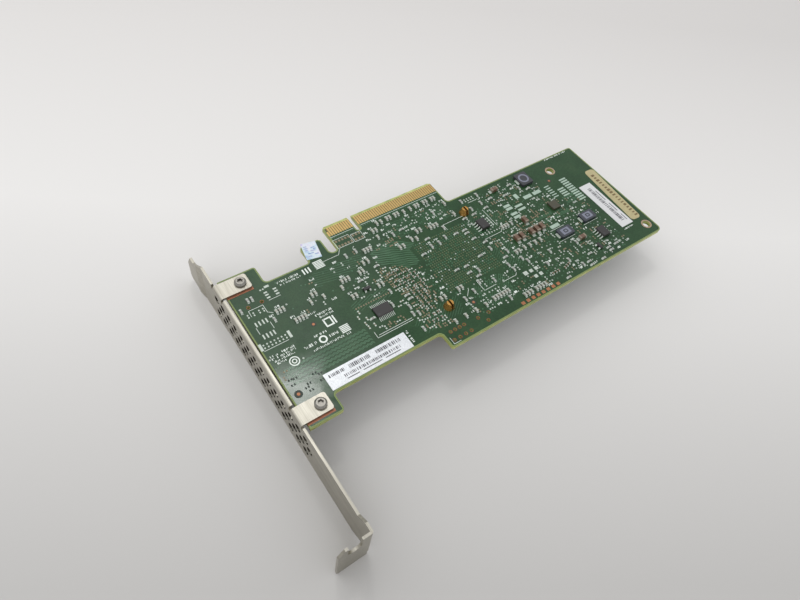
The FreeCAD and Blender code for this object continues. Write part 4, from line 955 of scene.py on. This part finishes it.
def land_field(board, outline, step_x, step_y, share, names):
    """Pairs of small lands in close rows over an outline, where nothing stands."""
    left, right, low, high = limits(outline)
    drift_x, drift_y = 0.2, 0.3
    for row in range(int((high - low) / step_y)):
        for column in range(int((right - left) / step_x)):
            x = left + column * step_x + dice.uniform(-drift_x, drift_x)
            y = low + row * step_y + dice.uniform(-drift_y, drift_y)
            if inside(outline, x, y) and dice.random() < share:
                land_pair(board, x, y, dice.choice(names), dice.choice(("copper_lands", None)))


# Close rows of bare lands: outline, steps in x and y, share of places that are filled, layers to choose from
HALF_TIN = ("lands", "copper_lands")
THIRD_TIN = ("copper_lands", "copper_lands", "lands")
MIDDLE_FIELDS = (
    ([(-5.8, -27), (5.5, -31.1), (8.7, -42.9), (7.8, -52.7), (4.8, -60.9), (-3.2, -58.9), (-5.7, -50.4),
      (-2.9, -42.1), (-4.7, -36.6), (-6.1, -31.3)], 0.8, 1.3, 0.95, HALF_TIN),
    ([(-10.3, -12.6), (3, -12.6), (4, -14.3), (-3.6, -18.9), (-10.3, -16.6)], 1.05, 2.1, 0.7, THIRD_TIN),
    ([(4.2, -16), (12.1, -18), (11.5, -22.6), (5, -20.5)], 1.05, 2.1, 0.7, THIRD_TIN),
    ([(-17.6, -47.4), (-6.4, -47.4), (-6.4, -51.3), (-17.6, -50.9)], 1.3, 1.1, 0.6, THIRD_TIN),
)
PAIR_PLACES = ((-19.9, -43.8), (-18.2, -44.8), (-21.4, -45.3), (-21.2, -47.1), (-18.9, -47.2), (-21, -40.2),
               (-22.3, -42.1), (-5.2, -43.8), (-4.2, -47.2), (-7, -45.2), (-12.9, -28.9), (-8.2, -33.7))
FAR_FIELDS = (
    ([(40, -36.5), (56, -36.5), (60, -41), (42, -41.5)], 1.1, 2.1, 0.6, THIRD_TIN),
    ([(53, -20), (66, -17), (70, -22), (56, -25)], 1.2, 2.2, 0.5, HALF_TIN),
    ([(54, -33), (68, -31), (70, -44), (56, -46)], 1.2, 1.8, 0.45, THIRD_TIN),
    ([(60, -54), (90, -52), (92, -60), (66, -66)], 1.3, 2.0, 0.35, HALF_TIN[::-1]),
    ([(76, -28), (81, -28), (84, -44), (74, -40)], 1.2, 1.8, 0.4, THIRD_TIN),
)


def solder_side_fields(board):
    """Close rows of bare lands, tinned and dull, in the busy parts of the board."""
    for field in MIDDLE_FIELDS:
        land_field(board, *field)
    for x, y in PAIR_PLACES:
        land_pair(board, x, y, "lands", "copper_lands")
    for field in FAR_FIELDS:
        land_field(board, *field)


def outline_of_board():
    """Corners of the board's outline, in order, from the edges of its upper face."""
    mesh = nodes["circuit_board"].data
    spots = corners_of(mesh)
    steps = set()
    for face in mesh.polygons:
        ring = [spots[index] for index in face.vertices]
        if all(abs(spot[2] - TOP) < ROOT for spot in ring):
            steps |= {(ring[index - 1][:2], ring[index][:2]) for index in range(len(ring))}
    onward = dict(sorted((first, second) for first, second in steps if (second, first) not in steps))
    first = min(onward)
    outline = [first]
    while onward[outline[-1]] != first:
        outline.append(onward[outline[-1]])
    return outline


def set_in(outline, depth):
    """Closed outline, moved inwards; it runs anticlockwise."""
    moved = []
    sharpest = 0.6
    for index, spot in enumerate(outline):
        here = Vector(spot)
        before = (here - Vector(outline[index - 1])).normalized()
        after = (Vector(outline[(index + 1) % len(outline)]) - here).normalized()
        middle = (before + after).normalized()
        reach = depth / max(middle.dot(after), sharpest)
        moved.append((here.x - middle.y * reach, here.y + middle.x * reach))
    return moved


def bare_laminate(board, low, high):
    """Laminate without mask: along the board's outline, and between the contacts inside their box."""
    start, end, edge_gap, setback = 0.4, 0.3, 0.02, 0.5
    for left, right in ((low.x + start, -KEY_HALF), (KEY_HALF, high.x + end)):
        middle = (low.y + high.y) / 2
        board.shapes["bare_laminate"].slab((left + right) / 2, middle, right - left, high.y - low.y,
                                           *layer(TRACE_T, board.side))
    outline = outline_of_board()
    board.shapes["mask_edge"].band(set_in(outline, edge_gap), set_in(outline, setback),
                                   *layer(TRACE_T / 2, board.side))


def grid_array(board):
    """Through holes below the controller's ball grid, with a short neck to some."""
    count, pitch, radius, reach = 12, 1.0, 0.27, 0.28
    made_share, dot_share, tinned_share, neck_share = 0.94, 0.7, 0.12, 0.5
    neck = 0.4 * pitch
    for column in range(-count, count + 1):
        for row in range(-count, count + 1):
            x, y = [middle + (index + 0.5) * pitch for middle, index in zip(CONTROLLER, (column, row))]
            if dice.random() < made_share and board.claim(x, y, reach, reach):
                dotted = dice.random() < dot_share
                ring = "through_rings" if dice.random() < tinned_share else "masked_rings"
                board.through(x, y, radius, "array_dots" if dotted else ring)
            if dice.random() < neck_share:
                board.run([(x, y), (x + neck, y + neck)], width=0.16)


def saw_tooth_pairs(board):
    """Length-matched pairs towards the cable ports."""
    gap, tooth, step, corners = 0.45, 0.24, 0.82, 39
    for y in (-47.4, -48.8, -50.2, -51.6, -53.1):
        for shift in (0.0, gap):
            path = []
            for index, x in enumerate(span(-54.0, corners, step)):
                path.append((x, y + shift + (tooth if index % 2 else -tooth)))
            board.run(path, width=0.2)


# Parallel tracks: outline, slope, step, width and, where they are wavy, the height of the waves
TRACK_BUNDLES = (
    ([(-4, -19.6), (7, -17.5), (15, -24.4), (11.6, -26), (11.6, -33), (6, -33), (-3, -26)],
     -0.62, 1.05, 0.32, 0.4),
    ([(22, -10.4), (37, -10.4), (37, -20), (31, -21.5), (22, -18)], -1.0, 1.1, 0.12),
    ([(6, -10.4), (20, -10.4), (22, -18), (12, -20)], -1.0, 1.1, 0.12),
    ([(-28, -17.6), (-6, -17.6), (-6, -21), (-14, -24), (-28, -24)], -0.2, 1.0, 0.16),
    ([(-22, -35.6), (-6, -35.6), (-6, -40.2), (-22, -40.2)], 0.35, 1.0, 0.16),
    ([(-8, -53), (14, -51), (12, -59), (-6, -60)], 0.8, 1.1, 0.12),
    ([(20, -52), (36, -52), (34, -63), (20, -63)], 1.0, 1.1, 0.12),
    ([(38, -24), (52, -22), (56, -32), (40, -36)], 0.9, 1.1, 0.12),
    ([(38.4, -38), (48, -38), (50, -52), (38.4, -55)], 0.7, 1.1, 0.12),
)
FAR_SIDE_BUNDLES = (
    ([(-40, -33), (4, -33), (4, -16), (-40, -16)], -0.3, 1.1, 0.2),
    ([(74, -52), (100, -52), (100, -66), (74, -66)], 0.6, 1.1, 0.2),
)


def slanted_bundle(board, outline, slope, step, width, waves=0.0):
    """Parallel tracks at a slope, cut to an outline."""
    stride, wave = 0.8, 0.8
    left, right, low, high = limits(outline)
    reach = right - left
    offset = low - abs(slope) * reach
    while offset < high + abs(slope) * reach:
        path = []
        for x in span(left, int(reach / stride) + 1, stride):
            y = offset + slope * (x - left) + waves * math.sin(x * wave)
            if inside(outline, x, y):
                path.append((x, y))
            elif len(path) > 2:
                break
        if len(path) > 2:
            board.run(path, width)
        offset += step


def contact_places(low, high):
    """Middles of the contacts along the connector, clear of the key notch."""
    places = span(low.x + FIRST_CONTACT, int(high.x - low.x), CONTACT_PITCH)
    return [x for x in places if abs(x) > KEY_CLEAR]


# Level tracks, three to a group: first height, left and right
LEVEL_TRACKS = ((-38, 64, 74), (-40.6, 67, 82), (-34.6, 84, 93), (-37, 84, 93))


def solder_side_tracks(board, low, high):
    """Bundles, pairs and level tracks, and a short track from each contact in the box of the contacts."""
    for bundle in TRACK_BUNDLES:
        slanted_bundle(board, *bundle)
    saw_tooth_pairs(board)
    length = 1.6
    for x in contact_places(low, high):
        board.run([(x, low.y), (x, low.y - length)], width=0.28)
    for first, left, right in LEVEL_TRACKS:
        for y in span(first, count=3, step=-0.55):
            board.run([(left, y), (right, y)], width=0.22)


# Seeded places: zone (left, right, low, high) and count of through holes, or of pairs of dull lands
BUSY_ZONES = (
    ((-46, -22, -31, -14), 9), ((-56, -46, -52, -40), 8), ((-20, -2, -40, -16), 26), ((-4, 6, -60, -34), 62),
    ((6, 14, -50, -34), 26), ((14, 40, -64, -51), 52), ((40, 62, -66, -36), 90), ((50, 80, -34, -15), 84),
    ((62, 92, -67, -35), 130), ((0, 38, -20, -10.5), 54), ((38, 50, -36, -22), 30),
)
DULL_ZONES = (((18, 30, -18, -13), 12), ((40, 50, -42, -38), 9), ((56, 64, -20, -16), 8))
FAR_SIDE_ZONES = (((-50, 2, -38, -14), 120), ((48, 104, -66, -14), 190), ((4, 44, -67, -60), 40))

# Rims round the two plain holes of the far end, and round rows of open holes: first place, count, step
PLAIN_HOLES = ((BOARD_HIGH.x - 18.8, -20), (BOARD_HIGH.x - 3.9, BOARD_LOW.y + 5.2))
RIM_ROWS = ((2, -63.2, 4, 2), (1.2, -66.5, 4, 2.54), (14.1, -63.6, 2, 4.9), (16.8, -66.2, 1, 0),
            (-52.3, -19.4, 2, 5.1))


def solder_side_holes(board):
    """Through holes, with short rows of strokes and pairs of lands among them, and rims of open holes."""
    grid_array(board)
    for zone, count in BUSY_ZONES:
        for _ in range(count // 2):
            place_name(board, *spot_in(zone))
        scatter_land_pairs(board, zone, count // 3, "lands")
        scatter_land_pairs(board, zone, count // 3, "copper_lands")
        scatter_through_holes(board, zone, count)
    for zone, count in DULL_ZONES:
        scatter_land_pairs(board, zone, count, "copper_lands")
    for x, y in PLAIN_HOLES:
        board.ring("tinned_rims", x, y, inner=1.66, outer=2.25, sides=36)
    for first, y, count, step in RIM_ROWS:
        for x in span(first, count, step):
            board.ring("hole_rims", x, y, inner=0.52, outer=0.74, sides=20)


def dress_solder_side(placed):
    board = Board(1, placed)
    contacts = node_box("contacts_solder_side")
    bare_laminate(board, *contacts)
    solder_side_lands(board)
    solder_side_print(board)
    names_beside_parts(board, ("chip_capacitors", "chip_resistors", "large_capacitors"))
    solder_side_tracks(board, *contacts)
    solder_side_fields(board)
    solder_side_holes(board)
    board.build("solder_side")


# Sighting marks of the component side
FAR_SIDE_MARKS = ((-50, -56), (100, -18), (102, -60))


def frame_beside(low, high, gap):
    """Closed path round a box, at a distance from it."""
    return frame_round(low.x - gap, low.y - gap, high.x + gap, high.y + gap)


def component_side_print(board):
    """Outlines round the larger parts, and short rows of strokes beside some of the parts."""
    for name in ("flash_chip", "crystal_can", "regulator_inductors", "bulk_capacitors"):
        for low, high in solids_of(name):
            board.line(frame_beside(low, high, gap=0.9))
    board.line(frame_beside(*node_box("heat_sink"), gap=0.8), width=0.22)
    names_beside_parts(board, ("decoupling_capacitors", "bulk_capacitors", "regulator_inductors"))


def contact_tracks(board, low, high):
    """Tracks from the contacts inside their box to the heat sink."""
    straight, jog = 2.2, 1.4
    end = node_box("heat_sink")[1].y
    for x in contact_places(low, high):
        turn = low.y - straight
        board.run([(x, low.y), (x, turn), (x + jog, turn - jog), (x + jog, end)], width=0.24)


def port_tracks(board):
    """Tracks and lands behind the cable ports."""
    first, straight, slant, land_y = 1.6, 2.0, 5.0, 0.7
    for name in ("cable_port_shell_a", "cable_port_shell_b"):
        low, high = node_box(name)
        y = high.y
        for x in span(low.x + first, count=18, step=1.0):
            board.run([(x, y), (x, y + straight), (x + slant, y + straight + slant)], width=0.22)
            board.land(x, y + land_y, size_x=0.45, size_y=1.1)


def dress_component_side(placed):
    """Typical print, lands and tracks of the hidden side."""
    board = Board(-1, placed)
    contacts = node_box("contacts_component_side")
    bare_laminate(board, *contacts)
    component_side_print(board)
    contact_tracks(board, *contacts)
    port_tracks(board)
    for zone, count in FAR_SIDE_ZONES:
        scatter_through_holes(board, zone, count)
    for bundle in FAR_SIDE_BUNDLES:
        slanted_bundle(board, *bundle)
    for x, y in FAR_SIDE_MARKS:
        board.disc("gold_lands", x, y, radius=0.7, sides=20)
        board.ring("copper_lands", x, y, inner=1.1, outer=1.5, sides=24)
    board.build("component_side")


# Small pieces on chips, labels and ports

def chip_marks():
    """Small rings by the first leads of the chips."""
    rings = Shape()
    from_corner, inner, outer, thickness = 1.0, 0.2, 0.34, 0.02
    for name, side in (("driver_chip", 1), ("switch_chips", 1), ("regulator_chip", 1), ("flash_chip", -1)):
        for low, high in solids_of(name):
            face = high.z if side > 0 else low.z
            rings.ring(low.x + from_corner, low.y + from_corner, inner, outer, face - side * ROOT,
                       face + side * thickness, sides=16)
    rings.build("chip_first_lead_marks", "ink", "chip_black")


# Shares of an inductor's length and width that the patch takes, and of the patch that its mark takes
PATCH = (0.6, 0.66)
MARK_OUTSIDE = (0.5, 0.6)
MARK_INSIDE = (0.24, 0.28)

# Painted highlight on the filter inductor, a pale ring: its radius as a share of the inductor's width, and
# its inside as a share of the radius
FILTER_HIGHLIGHT_RING = 0.36
FILTER_HIGHLIGHT_INSIDE = 0.7


def inductor_tops():
    """Paler top patch with a dark frame on each power inductor, and a pale ring painted as a highlight on
    the filter inductor.
    """
    tops = Shape()
    marks = Shape()
    for low, high in solids_of("power_inductors"):
        x, y = (low.x + high.x) / 2, (low.y + high.y) / 2
        length, width = PATCH[0] * (high.x - low.x), PATCH[1] * (high.y - low.y)
        tops.block(x, y, length, width, high.z - ROOT, high.z + TOP_T, bevel=0.03)
        outer = clipped_rectangle(x, y, MARK_OUTSIDE[0] * length, MARK_OUTSIDE[1] * width, clip=0.3)
        inner = clipped_rectangle(x, y, MARK_INSIDE[0] * length, MARK_INSIDE[1] * width, clip=0.15)
        marks.band(outer, inner, high.z, high.z + TOP_MARK_T)
    # Painted highlight: a pale ring on the top of the filter inductor.
    low, high = node_box("filter_inductor")
    radius = FILTER_HIGHLIGHT_RING * (high.y - low.y)
    tops.ring((low.x + high.x) / 2, (low.y + high.y) / 2, FILTER_HIGHLIGHT_INSIDE * radius, radius,
              high.z - ROOT, high.z + TOP_T, sides=32)
    tops.build("inductor_tops", "ferrite_top", "ferrite_grey")
    marks.build("inductor_marks", "ferrite", "ferrite_grey")


# Strokes on the sticker, on its own axes: place of the middle and length; then their width
VIOLET_STROKES = ((-1.7, 2.2, 1.3), (-1.6, 1.3, 1.5), (-1.6, 0.4, 1.1), (0.6, -0.2, 1.8), (-1.4, -2.6, 1.6))
BLUE_STROKES = ((1.0, 1.3, 1.5), (1.5, 0.6, 1.0), (-0.4, -1.3, 2.2), (1.6, -2.0, 1.4))
STICKER_STROKE_WIDTH = 0.3

# Bars on the wide label, from its low left corner: start, height of the middle, length, height of the bars
WIDE_LABEL_BARS = ((1.4, 4.9, 6.0, 1.2), (9.0, 4.8, 8.4, 1.5), (19.5, 4.8, 9.8, 1.4), (6.0, 2.6, 22.0, 1.1))
BAR_WIDTHS = (0.18, 0.3, 0.45)
BAR_GAPS = (0.2, 0.3, 0.5)

# Lines on the wide and the white label: start and length
WIDE_LABEL_LINES = ((6.4, 4.6), (12.4, 7.4), (21.2, 6.0))
WHITE_LABEL_LINES = ((5.0, 6.0), (13.0, 5.0), (20.0, 3.6))


def print_place(name):
    """Lowest and highest corner of a label, and the heights of the print on it."""
    low, high = node_box(name)
    return low, high, (high.z - ROOT, high.z + INK_T)


def sticker_print():
    """Violet and blue strokes across the pearly sticker."""
    low, high, face = print_place("inspection_sticker")
    middle = (low + high) / 2
    turn = math.radians(STICKER_TURN)
    for strokes, name, ink in ((VIOLET_STROKES, "sticker_violet_print", "violet_ink"),
                               (BLUE_STROKES, "sticker_blue_print", "blue_ink")):
        shape = Shape()
        for a, b, length in strokes:
            spots = []
            for along in (a - length / 2, a + length / 2):
                spots.append((middle.x + along * math.cos(turn) - b * math.sin(turn),
                              middle.y + along * math.sin(turn) + b * math.cos(turn)))
            shape.ribbon(spots, STICKER_STROKE_WIDTH, *face)
        shape.build(name, ink, "sticker_pearl")


def bars(shape, x, y, length, height, face, upright=False):
    """Row of dark bars of mixed width, as on a scanned label."""
    spot = 0.0
    while spot < length:
        wide = dice.choice(BAR_WIDTHS)
        shape.stroke(x, y, spot + wide / 2, 0, wide, height, face, upright)
        spot += wide + dice.choice(BAR_GAPS)


def label_print():
    """Bars, lines and blots on the three labels."""
    low, high, face = print_place("wide_label")
    ink = Shape()
    line_y, line_width = low.y + 1.3, 0.3
    for x, y, length, height in WIDE_LABEL_BARS:
        bars(ink, low.x + x, low.y + y, length, height, face)
    for x, length in WIDE_LABEL_LINES:
        ink.slab(low.x + x + length / 2, line_y, length, line_width, *face)
    ink.build("wide_label_print", "ink", "label_silver")
    low, high, face = print_place("white_label")
    ink = Shape()
    line_x, line_width = low.x + 5.2, 0.35
    bars(ink, low.x + 3.4, high.y - 2.6, length=20.6, height=1.7, face=face, upright=True)
    for y, length in WHITE_LABEL_LINES:
        ink.slab(line_x, high.y - y - length / 2, line_width, length, *face)
    ink.build("white_label_print", "ink", "label_white")
    low, high, face = print_place("tan_label")
    ink = Shape()
    lengths, widths = (1.3, 1.7), (0.6, 0.8, 1.1)
    for y in span(high.y - 3.6, count=17, step=-1.62):
        x = (low.x + high.x) / 2 + 0.4
        ink.slab(x, y, dice.choice(lengths), dice.choice(widths), *face)
    ink.build("tan_label_print", "brown_ink", "label_tan")


def port_contacts():
    """Two rows of sprung contacts in the slot of each cable port."""
    contacts = Shape()
    count, pitch, half_width, thickness = 18, 0.8, 0.2, 0.2
    setback, length, slope, slot_half = 0.15, 3.6, 0.5, 0.65
    for name in ("cable_port_insert_a", "cable_port_insert_b"):
        low, high = node_box(name)
        middle = (low + high) / 2
        front = low.y + setback
        back = front + length
        for x in span(middle.x - pitch * (count - 1) / 2, count, pitch):
            left, right = x - half_width, x + half_width
            for way in (-1, 1):
                root = middle.z + way * slot_half
                loops = []
                for start, z in ((front, root), (front + slope, root - way * thickness)):
                    loops.append([(left, start, z), (right, start, z), (right, back, z), (left, back, z)])
                contacts.loft(loops)
    contacts.build("cable_port_contacts", "gold", "gold_plate")


# Stage, in metres

TABLE_Z = cad_box[0][2]
TABLE_HALF = 1.6
ROOM_COLOUR = (0.97, 0.98, 1.0, 1.0)
ROOM_STRENGTH = 0.92

# Lamps: name, place, size and power in watts
LAMPS = (("window", (-0.25, 0.52, 0.7), 1.0, 2.2), ("ceiling", (0.175, 0.34, 0.62), 0.25, 0.14),
         ("pane", (0.085, 0.216, 0.61), 0.07, 0.27))


def stage():
    """Table and light of the room."""
    mesh = bpy.data.meshes.new("table")
    corners = [(x, y, TABLE_Z) for x, y in rectangle(0, 0, 2 * TABLE_HALF, 2 * TABLE_HALF)]
    mesh.from_pydata(corners, [], [(0, 1, 2, 3)])
    mesh.materials.append(table_top())
    table = add_object("table", mesh)
    world = bpy.data.worlds.new("room")
    bpy.context.scene.world = world
    world.use_nodes = True
    back = world.node_tree.nodes["Background"]
    back.inputs["Color"].default_value = ROOM_COLOUR
    back.inputs["Strength"].default_value = ROOM_STRENGTH


def lamp(name, place, size, power):
    """Square lamp that shines at the origin."""
    data = bpy.data.lights.new(name, "AREA")
    data.size = size
    data.energy = power
    light = add_object(name, data)
    light.location = place
    light.rotation_euler = (-Vector(place)).to_track_quat("-Z", "Y").to_euler()


def camera():
    data = bpy.data.cameras.new("photo_camera")
    data.sensor_width = SENSOR_MM
    data.lens = FOCAL_PIXELS / PHOTO_WIDTH * SENSOR_MM
    data.clip_start = CAMERA_NEAR * MM
    made = add_object("photo_camera", data)
    right, up = Vector(CAMERA_RIGHT).normalized(), Vector(CAMERA_UP).normalized()
    back = right.cross(up)
    turn = Matrix((right, up, back)).transposed().to_4x4()
    made.matrix_world = Matrix.Translation(Vector(CAMERA_AT) * MM) @ turn
    bpy.context.scene.camera = made
    bpy.context.scene.view_settings.view_transform = "Standard"


paint_nodes()
chip_lands_placed = dress_chip_parts()
dress_solder_side(chip_lands_placed)
dress_component_side(chip_lands_placed)
chip_marks()
inductor_tops()
sticker_print()
label_print()
port_contacts()
stage()
for lamp_values in LAMPS:
    lamp(*lamp_values)
camera()
